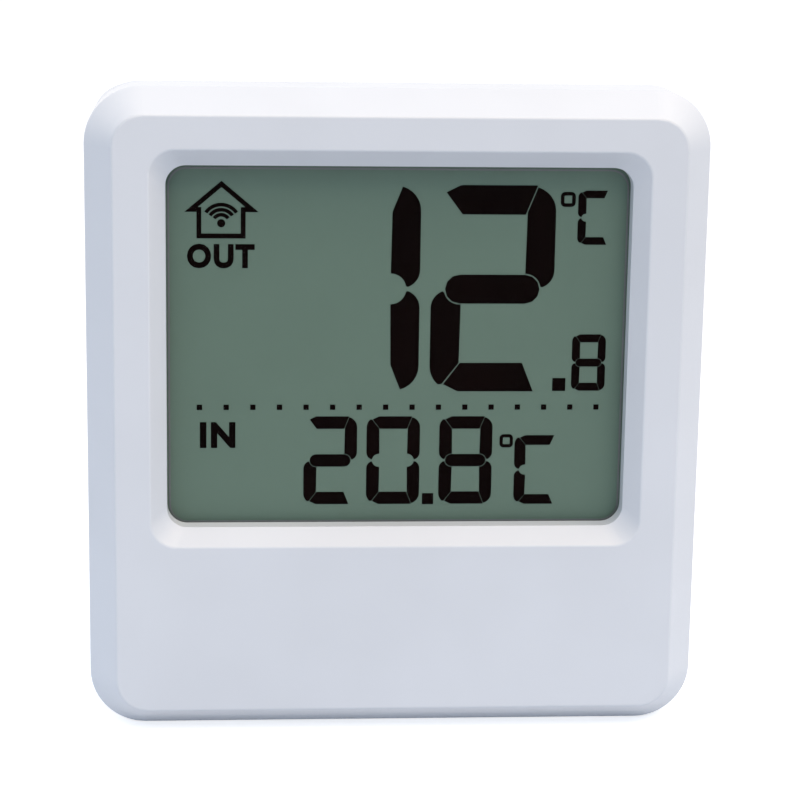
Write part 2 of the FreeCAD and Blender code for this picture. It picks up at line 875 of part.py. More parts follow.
def heel_stop_points():
    """Return the tray's side profile, with the slope that the heel meets when open."""
    angle = s.stand_open_angle
    reach = s.stand_thickness / 2 + s.stand_stop_gap
    near_y = pivot_y - reach * cosine(angle)
    near_z = stand_pivot_z - reach * sine(angle)
    slide_down = (near_y - tray_floor) / sine(angle)
    floor_end = near_z + slide_down * cosine(angle)
    heel = s.stand_heel + s.stand_gap
    far_y = near_y - heel * sine(angle)
    far_z = near_z + heel * cosine(angle)
    return [
        (rear + s.stand_gap, -s.stand_gap),
        (tray_floor, -s.stand_gap),
        (tray_floor, floor_end),
        (far_y, far_z),
        (far_y, tray_high),
        (rear + s.stand_gap, tray_high),
    ]


def make_stand_tray(body):
    """Tray that the folded stand lies in, with its pivot holes and heel stop."""
    wall = s.stand_tray_wall
    stop_y = heel_stop_points()[3][0]
    tray_top = tray_high + s.stand_tray_wall
    tray = (-cheek_half, cheek_half, as_size(0), tray_top)
    prism(body, "tray_block", draw_box(tray), tray_floor - wall, rear_inside)
    stop_low = stand_pivot_z - wall
    stop_block = (-cheek_half, cheek_half, stop_low, tray_top)
    prism(body, "stop_block", draw_box(stop_block), stop_y - wall, rear_inside)
    pivot = draw_circles([(pivot_y, stand_pivot_z)], s.stand_pin_radius + s.stand_pin_gap)
    pin_reach = stand_half + s.stand_pin_length + s.stand_pin_gap
    profile = draw_polygon(heel_stop_points())
    cut_prism(body, "tray", profile, -tray_half, tray_half, "YZ_Plane")
    cut_prism(body, "pivot_holes", pivot, -pin_reach, pin_reach, "YZ_Plane")


def make_battery_bay(body):
    """Tub for two cells with cradle ribs, door ledge, tab slots and latch pocket."""
    prism(body, "door_frame", draw_box(door_frame), rear_inside - s.door_frame_depth, rear_inside)
    prism(body, "bay_block", draw_box(bay_outer), bay_floor_y - s.bay_floor, rear_inside)
    latch_half = s.latch_width / 2 + s.latch_gap
    pocket_high = door_hole[3] + s.latch_loop
    pocket_front = rear - s.latch_depth - s.latch_room
    block_half = latch_half + s.latch_wall
    latch_block = (-block_half, block_half, bay_box[3], pocket_high + s.latch_wall)
    prism(body, "latch_block", draw_box(latch_block), pocket_front - s.latch_wall, rear_inside)
    cut_prism(body, "bay", draw_box(bay_box), bay_floor_y, rear)
    cut_prism(body, "door_seat", draw_rounded(door_hole, s.door_corner), door_inside, rear)
    mouth = (-latch_half, latch_half, bay_box[3] - s.latch_gap, door_hole[3] + latch_mouth_height())
    cut_prism(body, "latch_mouth", draw_box(mouth), pocket_front, rear)
    undercut = (-latch_half, latch_half, bay_box[3] - s.latch_gap, pocket_high)
    cut_prism(body, "latch_undercut", draw_box(undercut), pocket_front, rear - s.latch_lip)
    reach = s.tab_width / 2 + s.tab_slot_gap
    slot_low = door_hole[2] - s.tab_reach - s.tab_slot_gap
    tab_slots = [
        draw_box((x - reach, x + reach, slot_low, bay_box[2] + s.tab_gap)) for x in (-s.tab_x, s.tab_x)
    ]
    cut_prism(body, "tab_slots", draw_all(*tab_slots), rear - s.tab_slot_depth, door_inside)
    half = s.cradle_width / 2
    cradles = [
        draw_box((x - half, x + half, bay_box[2], bay_box[3]))
        for x in (-s.cradle_x, as_size(0), s.cradle_x)
    ]
    prism(body, "cradles", draw_all(*cradles), bay_floor_y, bay_floor_y + s.cradle_height)
    lift = s.cell_pitch / 2
    cell_places = [(cell_y, bay_middle_z - lift), (cell_y, bay_middle_z + lift)]
    saddles = draw_circles(cell_places, s.cell_radius + s.cell_gap)
    cut_prism(body, "saddles", saddles, -bay_half_length, bay_half_length, "YZ_Plane")
    tag_half = s.tag_width / 2 + s.tag_slot_gap
    tag_x = s.tag_slot_gap + s.contact_thickness - bay_half_length
    tag_slots = draw_box((-bay_half_length, tag_x, cell_y - tag_half, cell_y + tag_half))
    cut_prism(body, "tag_slots", tag_slots, bay_outer[2], bay_outer[3], "XY_Plane")


def latch_mouth_height():
    """Height of the latch mouth above the door's hole: the strip, its gap and the tab."""
    return s.latch_room + s.latch_strip + s.door_gap - s.latch_gap


def make_button_guides(body):
    """Block inside the rear wall with the holes that the button stems slide in."""
    guide = s.button_radius + s.button_gap
    reach = guide + s.collar_wall
    block = (button_x - reach, button_x + reach, button_places[0] - reach, button_places[-1] + reach)
    start = rear_inside - s.collar_depth
    prism(body, "button_block", draw_box(block), start, rear_inside)
    holes = draw_circles([(button_x, z) for z in button_places], guide)
    cut_prism(body, "button_holes", holes, start, rear)


def make_hooks(body):
    """Two fingers that reach into windows in the top wall of the front shell."""
    high = inner_box[3] - s.hook_gap
    low = high - s.hook_thickness
    root = parting + s.hook_root
    tip = parting - s.hook_reach
    profile = [
        (root, low),
        (tip, low),
        (tip, high),
        (tip + s.hook_nose_length, high + s.hook_nose),
        (tip + s.hook_nose_length, high),
        (root, high),
    ]
    half = s.hook_width / 2
    for name, side in SIDES:
        middle = as_size(side) * s.hook_x
        prism(body, f"{name}_hook", draw_polygon(profile), middle - half, middle + half, "YZ_Plane")


def make_display():
    """Clear window and the layers of the segment display behind it."""
    window = new_body("display_window")
    prism(window, "plate", draw_clipped(lens_box, s.lens_corner - s.lens_gap), lens_front, lens_back)
    layers = [
        ("front_polariser", film_box, lens_back, film_back),
        ("lcd_front_glass", ledge_box, film_back, front_glass_back),
        ("lcd_rear_glass", glass_box, front_glass_back, rear_glass_back),
        ("rear_reflector", film_box, rear_glass_back, stack_back),
    ]
    for name, box, start, end in layers:
        layer = new_body(name)
        prism(layer, "sheet", draw_box(box), start, end)
    connector = new_body("elastomer_connector")
    prism(connector, "strip", draw_box(connector_box), front_glass_back, board_front)


def make_display_holder():
    """Frame that clamps the display stack between the lens rim and the board."""
    body = new_body("display_holder")
    prism(body, "frame", draw_box(holder_box), lens_back, holder_back)
    left, right, low, _ = holder_box
    foot = s.holder_foot
    bar_high = glass_box[2] + foot
    foot_high = board_high - s.holder_foot_sink
    rests = [
        draw_box((left, right, low, bar_high)),
        draw_box((left, left + foot, foot_high - foot, foot_high)),
        draw_box((right - foot, right, foot_high - foot, foot_high)),
    ]
    prism(body, "board_rests", draw_all(*rests), holder_back, board_front)
    cut_prism(body, "glass_seat", draw_box(holder_hollow), lens_back, stack_back)
    opening = inset(glass_box, s.holder_lap, s.holder_lap)
    middle = (opening[0], opening[1], bar_high, opening[3])
    cut_prism(body, "back_opening", draw_box(middle), stack_back, holder_back)
    slot = inset(connector_box, -s.connector_gap, -s.connector_gap)
    cut_prism(body, "connector_slot", draw_box(slot), stack_back, board_front)


def make_main_board():
    """Circuit board with notches for the screw posts."""
    body = new_body("main_board")
    left, right, low, high = board_box
    step_x = right - s.board_notch_width
    step_z = low + s.board_notch_height
    outline = [
        (-step_x, low),
        (step_x, low),
        (step_x, step_z),
        (right, step_z),
        (right, high),
        (left, high),
        (left, step_z),
        (-step_x, step_z),
    ]
    prism(body, "laminate", draw_polygon(outline), board_front, board_back)
    cut_prism(body, "screw_holes", draw_circles(board_posts, s.board_screw_hole), board_front, board_back)


def make_screws(label, places, seat, length, shank, head, head_height):
    """Screws with flat round heads and a cross slot, all in one node."""
    body = new_body(label)
    prism(body, "shanks", draw_circles(places, shank), seat - length, seat)
    top = seat + head_height
    prism(body, "heads", draw_circles(places, head), seat, top)
    half = s.screw_slot_width / 2
    reach = s.screw_slot_reach
    for name, across, up in (("level_slots", reach, half), ("upright_slots", half, reach)):
        slots = [draw_box((x - across, x + across, z - up, z + up)) for x, z in places]
        cut_prism(body, name, draw_all(*slots), top - s.screw_slot_depth, top)


def make_cells():
    """Two round cells that lie head to tail."""
    half = s.cell_length / 2
    shoulder = half - s.cell_nub_length
    points = [
        (-half, 0),
        (-half, s.cell_radius),
        (shoulder, s.cell_radius),
        (shoulder, s.cell_nub_radius),
        (half, s.cell_nub_radius),
        (half, 0),
    ]
    shift = (s.spring_room - s.dimple_height) / 2
    turned = Rotation(Vector(0, 0, 1), 180)
    for name, way, rotation in (("upper_cell", as_size(1), None), ("lower_cell", as_size(-1), turned)):
        body = new_body(name)
        turn(body, "can", "XY_Plane", "H_Axis", points)
        up = bay_middle_z + way * s.cell_pitch / 2
        place_body(body, way * shift, cell_y, up, rotation)


def coned_spring(reach):
    """Contact spring that climbs along X from its plate and narrows to its free end."""
    wire = s.spring_wire.number
    start_radius = s.spring_wide.number
    end_radius = s.spring_narrow.number
    pitch = (reach - wire) / s.spring_turns.number
    points = coil_points(s.spring_turns.number, start_radius, end_radius, pitch)
    return sweep_wire(coil_path(points, wire), wire / 2)


def dimple(radius, height):
    """Raised spot that meets the cell's nub, a cone with a flat top."""
    return Part.makeCone(radius, radius / 2, height, Vector(), Vector(1, 0, 0))


def make_contacts():
    """Stamped contacts: one bridge plate on the right, two with solder tags on the left."""
    thickness = s.contact_thickness.number
    end = bay_half_length.number
    half = s.contact_height.number / 2
    lift = s.cell_pitch.number / 2
    middle = bay_middle_z.number
    along = cell_y.number
    width = s.contact_width.number
    spring_reach = (s.spring_room - s.spring_end_gap).number
    tag = s.tag_width.number

    def plate(low, high):
        return Part.makeBox(thickness, width, high - low, Vector(0, -width / 2, low))

    def facing(shape, side, up):
        """Turn a shape that faces +X to face inwards from one end of the bay."""
        spot = Vector(side * end, along, up)
        turned = Rotation(Vector(0, 0, 1), 180 if side > 0 else 0)
        shape.Placement = Placement(spot, turned)
        return shape

    spring = coned_spring(spring_reach)
    spring.translate(Vector(thickness + s.spring_wire.number / 2 - s.spring_bite.number, 0, 0))
    button = dimple(s.dimple_radius.number, s.dimple_height.number)
    button.translate(Vector(thickness, 0, 0))
    upper = Vector(0, 0, lift)
    bridge = plate(-lift - half, lift + half).fuse([button.translated(upper), spring.translated(-upper)])
    tag_reach = bay_outer[3].number - bay_middle_z.number - lift + tag / 2
    upper_tag = Part.makeBox(thickness, tag, tag_reach - half, Vector(0, -tag / 2, half))
    lower_tag = Part.makeBox(thickness, tag, tag_reach - half, Vector(0, -tag / 2, -tag_reach))
    negative = plate(-half, half).fuse([spring, upper_tag])
    positive = plate(-half, half).fuse([button, lower_tag])
    for label, shape, side, up in (
        ("bridge_contact", bridge, 1, middle),
        ("negative_contact", negative, -1, middle + lift),
        ("positive_contact", positive, -1, middle - lift),
    ):
        node = doc.addObject("Part::Feature", label)
        node.Label = label
        node.Shape = facing(shape, side, up)
        sub_parts.append(node)
    gap = least_self_gap(spring_reach)
    print(f"least gap between spring turns: {gap:.2f} mm")


def least_self_gap(reach):
    """Measure the least gap between one turn of the spring and the next."""
    wire = s.spring_wire.number
    turns = s.spring_turns.number
    pitch = (reach - wire) / turns
    steps = 48
    points = coil_points(turns, s.spring_wide.number, s.spring_narrow.number, pitch, steps)
    gaps = [
        (points[first][0] - points[second][0]).Length - wire
        for first in range(len(points))
        for second in range(first + steps * 3 // 4, len(points))
    ]
    return min(gaps)


def make_leads():
    """Insulated leads from the two solder tags to the circuit board."""
    radius = s.lead_radius.number
    bend = s.lead_bend.number
    tag_x = -bay_half_length.number + s.contact_thickness.number + radius
    along = cell_y.number
    tag_high = bay_outer[3].number + s.tag_width.number / 2 + radius
    tag_low = bay_outer[2].number
    side_x = bay_outer[0].number - bend
    board_y = board_back.number
    land_z = board_high.number - bend
    negative = [
        Vector(tag_x, along, tag_high),
        Vector(side_x, along, tag_high),
        Vector(side_x, along, land_z),
        Vector(side_x, board_y, land_z),
    ]
    positive = [
        Vector(tag_x, along, tag_low),
        Vector(tag_x, along, land_z),
        Vector(tag_x, board_y, land_z),
    ]
    for label, corners, ends in (
        ("negative_lead", negative, bend),
        ("positive_lead", positive, s.lead_tight_bend.number),
    ):
        node = doc.addObject("Part::Feature", label)
        node.Label = label
        node.Shape = sweep_wire(rounded_path(corners, ends), radius)
        sub_parts.append(node)


def make_battery_door():
    """Flush door with two tabs at its lower edge and a sprung latch at its upper edge."""
    body = new_body("battery_door")
    corner = s.door_corner - s.door_gap
    prism(body, "plate", draw_rounded(door_box, corner), door_inside, rear)
    tab_back = door_inside - s.tab_gap
    tab_front = tab_back - s.tab_thickness
    tip = door_hole[2] - s.tab_reach
    root_low = door_box[2] + s.tab_gap
    root_high = bay_box[2] - s.tab_gap
    tab = [
        (tab_front, tip),
        (tab_back, tip),
        (tab_back, root_low),
        (door_inside, root_low),
        (door_inside, root_high),
        (tab_front, root_high),
    ]
    half = s.tab_width / 2
    for name, side in SIDES:
        middle = as_size(side) * s.tab_x
        prism(body, f"{name}_tab", draw_polygon(tab), middle - half, middle + half, "YZ_Plane")
    strip = s.latch_strip
    leg_low = bay_box[3] - s.latch_gap + s.door_gap
    bottom = rear - s.latch_depth
    grip = rear - s.latch_grip_sink
    outer_z = door_hole[3] + latch_mouth_height() - s.door_gap
    nose_top = rear - s.latch_lip - s.door_gap
    profile = [
        (door_inside, leg_low),
        (bottom, leg_low),
        (bottom, outer_z - s.latch_lean),
        (nose_top - s.latch_nose * 2, outer_z),
        (nose_top - s.latch_nose, outer_z + s.latch_nose),
        (nose_top, outer_z + s.latch_nose),
        (nose_top, outer_z),
        (grip, outer_z),
        (grip, outer_z - strip),
        (bottom + strip, outer_z - strip - s.latch_lean),
        (bottom + strip, leg_low + strip),
        (door_inside, leg_low + strip),
    ]
    latch_half = s.latch_width / 2
    prism(body, "latch", draw_polygon(profile), -latch_half, latch_half, "YZ_Plane")
    pad = new_body("cell_pad")
    pad_box = (
        -s.pad_length / 2,
        s.pad_length / 2,
        bay_middle_z - s.pad_height / 2,
        bay_middle_z + s.pad_height / 2,
    )
    prism(pad, "foam", draw_box(pad_box), door_inside - s.pad_thickness, door_inside)


def make_stand():
    """Fold-out stand: a hollowed plate with ribs, a heel, a grip and two pivot pins."""
    body = new_body("folding_stand")
    plate = (-stand_half, stand_half, s.stand_foot_z, stand_heel_z)
    prism(body, "plate", draw_box(plate), stand_front, stand_back)
    dress(body, "Fillet", "foot_corners", foot_corner_test(), s.stand_corner)
    pivot = draw_circles([(pivot_y, stand_pivot_z)], s.stand_pin_radius)
    pin_end = stand_half + s.stand_pin_length
    prism(body, "pins", pivot, -pin_end, pin_end, "YZ_Plane")
    hollow_low = s.stand_foot_z + s.stand_hollow_inset * 2
    hollow_high = stand_pivot_z - s.stand_hollow_inset
    hollow_half = stand_half - s.stand_hollow_inset
    bay = (hollow_half * 2 - s.stand_rib * 2) / 3
    hollows = []
    for index in range(3):
        left = -hollow_half + (bay + s.stand_rib) * index
        box = (left, left + bay, hollow_low, hollow_high)
        hollows.append(draw_box(box))
    cut_prism(body, "hollows", draw_all(*hollows), stand_front, stand_front + s.stand_hollow_depth)
    grip_half = s.stand_grip_width / 2
    grip_high = s.stand_foot_z + s.stand_grip_height
    grip = [
        (stand_back, grip_high),
        (stand_back - s.stand_thickness / 2, grip_high - s.stand_grip_height / 2),
        (stand_back - s.stand_thickness / 2, s.stand_foot_z),
        (stand_back, s.stand_foot_z),
    ]
    cut_prism(body, "grip", draw_polygon(grip), -grip_half, grip_half, "YZ_Plane")


def foot_corner_test():
    """Return a test for the plate's two lower corner edges, which run along Y."""
    low = s.stand_foot_z.number

    def test(box):
        return box.ZMax < low + 0.001 and box.XMax - box.XMin < 0.001

    return test


def make_buttons():
    """Three push buttons, each on a silicone dome that springs it back."""
    flange_back = rear_inside - s.collar_depth
    flange_front = flange_back - s.button_flange_thickness
    top = rear - s.button_sink
    cap = [
        (0, flange_front),
        (s.button_flange, flange_front),
        (s.button_flange, flange_back),
        (s.button_radius, flange_back),
        (s.button_radius, top),
        (0, top),
    ]
    under_crown = flange_front - s.dome_crown_thickness
    dome = [
        (0, flange_front),
        (0, under_crown),
        (s.dome_bore, under_crown),
        (s.dome_bore, board_back),
        (s.dome_radius, board_back),
        (s.dome_radius, flange_front),
    ]
    for name, up in zip(("memory", "clear", "unit"), button_places):
        button = new_body(f"{name}_button")
        turn(button, "cap", "XY_Plane", "V_Axis", cap)
        place_body(button, button_x, 0, up)
        spring = new_body(f"{name}_dome")
        turn(spring, "dome", "XY_Plane", "V_Axis", dome)
        place_body(spring, button_x, 0, up)


def make_receiver():
    """Radio receiver board on a pin header, with its chip and wire antenna."""
    half = s.receiver_width / 2
    low = s.receiver_low
    high = holder_box[2] - s.receiver_gap
    back = board_front - s.header_height
    face = back - s.receiver_thickness
    pin_z = low + s.header_bar
    pin_places = [(s.header_pitch * step - s.header_pitch * 1.5, pin_z) for step in range(4)]
    board = new_body("receiver_board")
    prism(board, "laminate", draw_box((-half, half, low, high)), face, back)
    half_hole = s.header_hole / 2
    holes = [
        draw_box((x - half_hole, x + half_hole, z - half_hole, z + half_hole)) for x, z in pin_places
    ]
    cut_prism(board, "pin_holes", draw_all(*holes), face, back)
    header = new_body("pin_header")
    bar_half = s.header_pitch * 2
    bar = (-bar_half, bar_half, pin_z - s.header_bar / 2, pin_z + s.header_bar / 2)
    prism(header, "bar", draw_box(bar), back, board_front)
    half_pin = s.header_pin / 2
    pins = [draw_box((x - half_pin, x + half_pin, z - half_pin, z + half_pin)) for x, z in pin_places]
    prism(header, "pins", draw_all(*pins), face - s.header_stub, back)
    chip = new_body("receiver_chip")
    chip_z = high - s.receiver_chip_height
    chip_left = s.receiver_chip_inset - half
    chip_box = (
        chip_left,
        chip_left + s.receiver_chip_width,
        chip_z - s.receiver_chip_height / 2,
        chip_z + s.receiver_chip_height / 2,
    )
    prism(chip, "package", draw_box(chip_box), face - s.receiver_chip_thickness, face)
    antenna = doc.addObject("Part::Feature", "antenna_wire")
    antenna.Label = "antenna_wire"
    lifted = (face - s.antenna_lift).number
    start_x = s.antenna_start.number
    reach = s.antenna_reach.number
    start_z = chip_z.number
    corners = [
        Vector(start_x, face.number, start_z),
        Vector(start_x, lifted, start_z),
        Vector(reach, lifted, start_z),
        Vector(reach, lifted, start_z - s.antenna_fall.number),
    ]
    path = rounded_path(corners, s.antenna_bend.number)
    antenna.Shape = sweep_wire(path, s.antenna_radius.number)
    sub_parts.append(antenna)


def make_components():
    """Parts soldered to the rear of the circuit board."""
    blob = new_body("controller_blob")
    back = board_back
    blob_points = [
        (0, back),
        (s.blob_radius, back),
        (s.blob_top_radius, back + s.blob_height),
        (0, back + s.blob_height),
    ]
    turn(blob, "cap", "XY_Plane", "V_Axis", blob_points)
    place_body(blob, s.blob_x, 0, board_high - s.blob_drop)
    crystal = new_body("clock_crystal")
    crystal_points = [
        (0, 0),
        (0, s.crystal_radius),
        (s.crystal_length, s.crystal_radius),
        (s.crystal_length, 0),
    ]
    turn(crystal, "can", "XY_Plane", "H_Axis", crystal_points)
    place_body(crystal, s.crystal_x, board_back + s.crystal_radius, board_high - s.crystal_drop)
    capacitor = new_body("filter_capacitor")
    capacitor_points = [
        (0, back),
        (s.capacitor_radius, back),
        (s.capacitor_radius, back + s.capacitor_height),
        (0, back + s.capacitor_height),
    ]
    turn(capacitor, "can", "XY_Plane", "V_Axis", capacitor_points)
    place_body(capacitor, s.capacitor_x, 0, board_high - s.capacitor_drop)
    probe = new_body("temperature_probe")
    bead = back + s.probe_reach
    probe_points = [
        (0, back),
        (s.probe_lead, back),
        (s.probe_lead, bead),
        (s.probe_radius, bead),
        (s.probe_radius, bead + s.probe_length),
        (0, bead + s.probe_length),
    ]
    turn(probe, "bead", "XY_Plane", "V_Axis", probe_points)
    place_body(probe, s.probe_x, 0, s.probe_z)


def check_document():
    """Stop if any object failed or any sub-part has no sound shape."""
    doc.recompute()
    for item in doc.Objects:
        if "Invalid" in item.State or "Error" in item.State:
            raise RuntimeError(f"{item.Name} ({item.Label}) failed: {item.State}")
    for node in sub_parts:
        if node.Shape.isNull() or not node.Shape.isValid() or node.Shape.Volume <= 0:
            raise RuntimeError(f"{node.Label} has no sound shape")


make_front_housing()
make_display()
make_display_holder()
make_main_board()
make_rear_housing()
make_cells()
make_contacts()
make_leads()
make_battery_door()
make_stand()
make_buttons()
make_receiver()
make_components()
make_screws(
    "housing_screws",
    housing_screws,
    parting + s.screw_seat,
    s.housing_screw_length,
    s.housing_screw_shank,
    s.housing_screw_head,
    s.housing_screw_head_height,
)
make_screws(
    "board_screws",
    board_posts,
    board_back,
    s.board_screw_length,
    s.board_screw_shank,
    s.board_screw_head,
    s.board_screw_head_height,
)
check_document()
os.makedirs("parts", exist_ok=True)
for node in sub_parts:
    node.Shape.exportStep(f"parts/{node.Label}.step")
print(f"{len(sub_parts)} sub-parts written")
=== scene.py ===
import math

import bmesh
import bpy
from mathutils import Matrix, Vector


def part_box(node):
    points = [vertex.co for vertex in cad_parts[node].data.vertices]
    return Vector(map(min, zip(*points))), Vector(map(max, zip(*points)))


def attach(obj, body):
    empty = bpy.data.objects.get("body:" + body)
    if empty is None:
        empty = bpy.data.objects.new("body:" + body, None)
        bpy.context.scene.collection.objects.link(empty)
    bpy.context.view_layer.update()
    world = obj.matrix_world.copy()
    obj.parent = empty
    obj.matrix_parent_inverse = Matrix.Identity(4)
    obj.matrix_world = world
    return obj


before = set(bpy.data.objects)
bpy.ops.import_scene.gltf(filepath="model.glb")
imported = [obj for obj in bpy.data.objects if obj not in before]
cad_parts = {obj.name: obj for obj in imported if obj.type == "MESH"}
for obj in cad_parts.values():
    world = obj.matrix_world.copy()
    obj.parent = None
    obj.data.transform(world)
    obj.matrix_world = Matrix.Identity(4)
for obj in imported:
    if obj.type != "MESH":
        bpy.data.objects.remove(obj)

bl_info = {
    "name": "Temperature Station Dresser",
    "version": (1, 0, 0),
    "blender": (4, 5, 0),
    "location": "3D View > Sidebar > Station",
    "description": "Dresses the packed temperature station: display, finishes, prints and studio",
    "category": "Object",
}

MM = 0.001

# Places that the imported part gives, in metres
SHELL_LOW, SHELL_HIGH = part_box("front_housing")
FILM_LOW, FILM_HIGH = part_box("front_polariser")
REAR_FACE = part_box("rear_housing")[1].y
DOOR_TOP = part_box("battery_door")[1].z
FACE_CENTRE = Vector((0, SHELL_LOW.y, (SHELL_LOW.z + SHELL_HIGH.z) / 2))
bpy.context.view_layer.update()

# The cells, each with the way along X that its raised end faces
CELLS = {"upper_cell": 1, "lower_cell": -1}


class StationHousingLook(bpy.types.PropertyGroup):
    """Colours and surface of the moulded shells."""

    shell_colour: bpy.props.FloatVectorProperty(
        name="Shell colour",
        description="Colour of the front and rear shells",
        subtype="COLOR",
        size=3,
        min=0,
        max=1,
        default=(0.618, 0.668, 0.755),
    )
    button_colour: bpy.props.FloatVectorProperty(
        name="Button colour",
        description="Colour of the three rear buttons",
        subtype="COLOR",
        size=3,
        min=0,
        max=1,
        default=(0.26, 0.29, 0.34),
    )
    grain_size: bpy.props.FloatProperty(
        name="Grain size",
        description="Width of one grain of the moulded texture",
        subtype="DISTANCE",
        unit="LENGTH",
        min=0.00005,
        max=0.002,
        default=0.00035,
    )


class StationDisplayLook(bpy.types.PropertyGroup):
    """Sizes and colours of the segment display."""

    sheet_colour: bpy.props.FloatVectorProperty(
        name="Sheet colour",
        description="Colour of the display where no segment is dark",
        subtype="COLOR",
        size=3,
        min=0,
        max=1,
        default=(0.149, 0.231, 0.190),
    )
    segment_colour: bpy.props.FloatVectorProperty(
        name="Segment colour",
        description="Colour of the dark segments",
        subtype="COLOR",
        size=3,
        min=0,
        max=1,
        default=(0.0022, 0.0007, 0.0007),
    )
    large_height: bpy.props.FloatProperty(
        name="Large digits",
        description="Height of the outdoor digits",
        subtype="DISTANCE",
        unit="LENGTH",
        default=0.02906,
    )
    middle_height: bpy.props.FloatProperty(
        name="Middle digits",
        description="Height of the indoor digits",
        subtype="DISTANCE",
        unit="LENGTH",
        default=0.01269,
    )
    small_height: bpy.props.FloatProperty(
        name="Small digit",
        description="Height of the outdoor digit after the point",
        subtype="DISTANCE",
        unit="LENGTH",
        default=0.00806,
    )


class StationStudioLook(bpy.types.PropertyGroup):
    """Floor, lamps and camera."""

    floor_colour: bpy.props.FloatVectorProperty(
        name="Floor colour",
        description="Colour of the studio floor",
        subtype="COLOR",
        size=3,
        min=0,
        max=1,
        default=(0.42, 0.42, 0.43),
    )
    sky_colour: bpy.props.FloatVectorProperty(
        name="Sky colour",
        description="Colour of the even light from all sides",
        subtype="COLOR",
        size=3,
        min=0,
        max=1,
        default=(0.78, 0.88, 1.0),
    )
    sky_strength: bpy.props.FloatProperty(
        name="Sky strength",
        description="Strength of the even light from all sides",
        min=0,
        max=4,
        default=0.88,
    )
    top_power: bpy.props.FloatProperty(
        name="Top lamp",
        description="Power of the soft lamp above the station",
        unit="POWER",
        min=0,
        max=100,
        default=6.15,
    )
    rear_power: bpy.props.FloatProperty(
        name="Rear lamp",
        description="Power of the weak lamp that fills the rear side",
        unit="POWER",
        min=0,
        max=100,
        default=2.1,
    )
    camera_turn: bpy.props.FloatProperty(
        name="Camera turn",
        description="How far the camera stands round to one side",
        subtype="ANGLE",
        unit="ROTATION",
        default=0.0746468,
    )
    camera_tilt: bpy.props.FloatProperty(
        name="Camera tilt",
        description="How far the camera looks down",
        subtype="ANGLE",
        unit="ROTATION",
        default=0.217914,
    )
    camera_roll: bpy.props.FloatProperty(
        name="Camera roll",
        description="How far the picture leans",
        subtype="ANGLE",
        unit="ROTATION",
        default=0.0154512,
    )
    camera_distance: bpy.props.FloatProperty(
        name="Camera distance",
        description="From the camera to the middle of the face",
        subtype="DISTANCE",
        unit="LENGTH",
        default=0.33128,
    )
    camera_lens: bpy.props.FloatProperty(
        name="Camera lens",
        description="Focal length of the camera in millimetres on a 36 mm sensor",
        default=108.07,
    )


# Drawing of one digit, in millimetres. Across is measured from its left edge, and down
# from its top edge.
DIGIT_WIDTH = 17.19
DIGIT_HEIGHT = 29.06
STROKE = 4.06
SEGMENT_GAP = 0.15
OUTER_ROUND = 3.44
SHOULDER_ROUND = 2.5
STEEP_CUT = 2.44
CORNER_DROP = 0.15
TOP_BAR_SHIFT = 0.1
RIGHT_TIP_ACROSS = 0.12
RIGHT_TIP_RISE = 0.3
LEFT_TIP_ACROSS = 0.28
LEFT_TIP_DROP = 0.06
ARC_STEPS = 6

SEGMENTS_OF = {
    "0": "abcdef",
    "1": "bc",
    "2": "abged",
    "8": "abcdefg",
    "C": "afed",
}


def arc(centre, radius, start, end, steps=ARC_STEPS):
    """Points on an arc. Angles are in degrees, from across towards down."""
    points = []
    for step in range(steps + 1):
        angle = math.radians(start + (end - start) * step / steps)
        across = centre[0] + radius * math.cos(angle)
        down = centre[1] + radius * math.sin(angle)
        points.append((across, down))
    return points


def flip(points):
    """Mirror a drawing from the upper half of a digit to its lower half."""
    return [(across, DIGIT_HEIGHT - down) for across, down in points]


def segment_drawings():
    """Outlines of the seven segments of a digit."""
    middle = DIGIT_HEIGHT / 2
    bar_round = STROKE / 2
    left_end = (STROKE - SEGMENT_GAP / 2, middle)
    right_end = (DIGIT_WIDTH - STROKE, middle)
    notch = bar_round + SEGMENT_GAP
    top = [
        (STROKE / 2 - TOP_BAR_SHIFT, STROKE / 4),
        (STROKE - TOP_BAR_SHIFT, 0),
        (DIGIT_WIDTH - STEEP_CUT - SEGMENT_GAP, 0),
        (DIGIT_WIDTH - STROKE - SEGMENT_GAP, STROKE),
        (STROKE + SEGMENT_GAP, STROKE),
    ]
    shoulder_low = middle - SHOULDER_ROUND - SEGMENT_GAP
    corner_low = OUTER_ROUND + CORNER_DROP
    upper_right = (
        arc((DIGIT_WIDTH - OUTER_ROUND, corner_low), OUTER_ROUND, -75, 0)
        + arc((DIGIT_WIDTH - SHOULDER_ROUND, shoulder_low), SHOULDER_ROUND, 0, 70)
        + arc(right_end, notch, -10, -90)
        + [(DIGIT_WIDTH - STROKE + RIGHT_TIP_ACROSS, STROKE - RIGHT_TIP_RISE)]
    )
    upper_left = (
        [(STROKE / 2 - LEFT_TIP_ACROSS, STROKE / 4 + LEFT_TIP_DROP)]
        + arc((OUTER_ROUND, corner_low), OUTER_ROUND, 229, 180)
        + arc((SHOULDER_ROUND, shoulder_low), SHOULDER_ROUND, 180, 110)
        + arc(left_end, notch, 195, 275)
        + [(STROKE, STROKE)]
    )
    bar = arc(left_end, bar_round, 90, 270) + arc(right_end, bar_round, -90, 90)
    return {
        "a": top,
        "b": upper_right,
        "c": flip(upper_right),
        "d": flip(top),
        "e": flip(upper_left),
        "f": upper_left,
        "g": bar,
    }


def scaled(points, width_share, height_share, left, top):
    """Scale a drawing and move it to its place on the display."""
    return [(left + across * width_share, top + down * height_share) for across, down in points]


# The visible area, in millimetres: its left and top edges in the frame, and its size
VISIBLE_LEFT = -31.6
VISIBLE_TOP = 79.35
SEEN_WIDTH = 63.4
SEEN_HEIGHT = 49.9

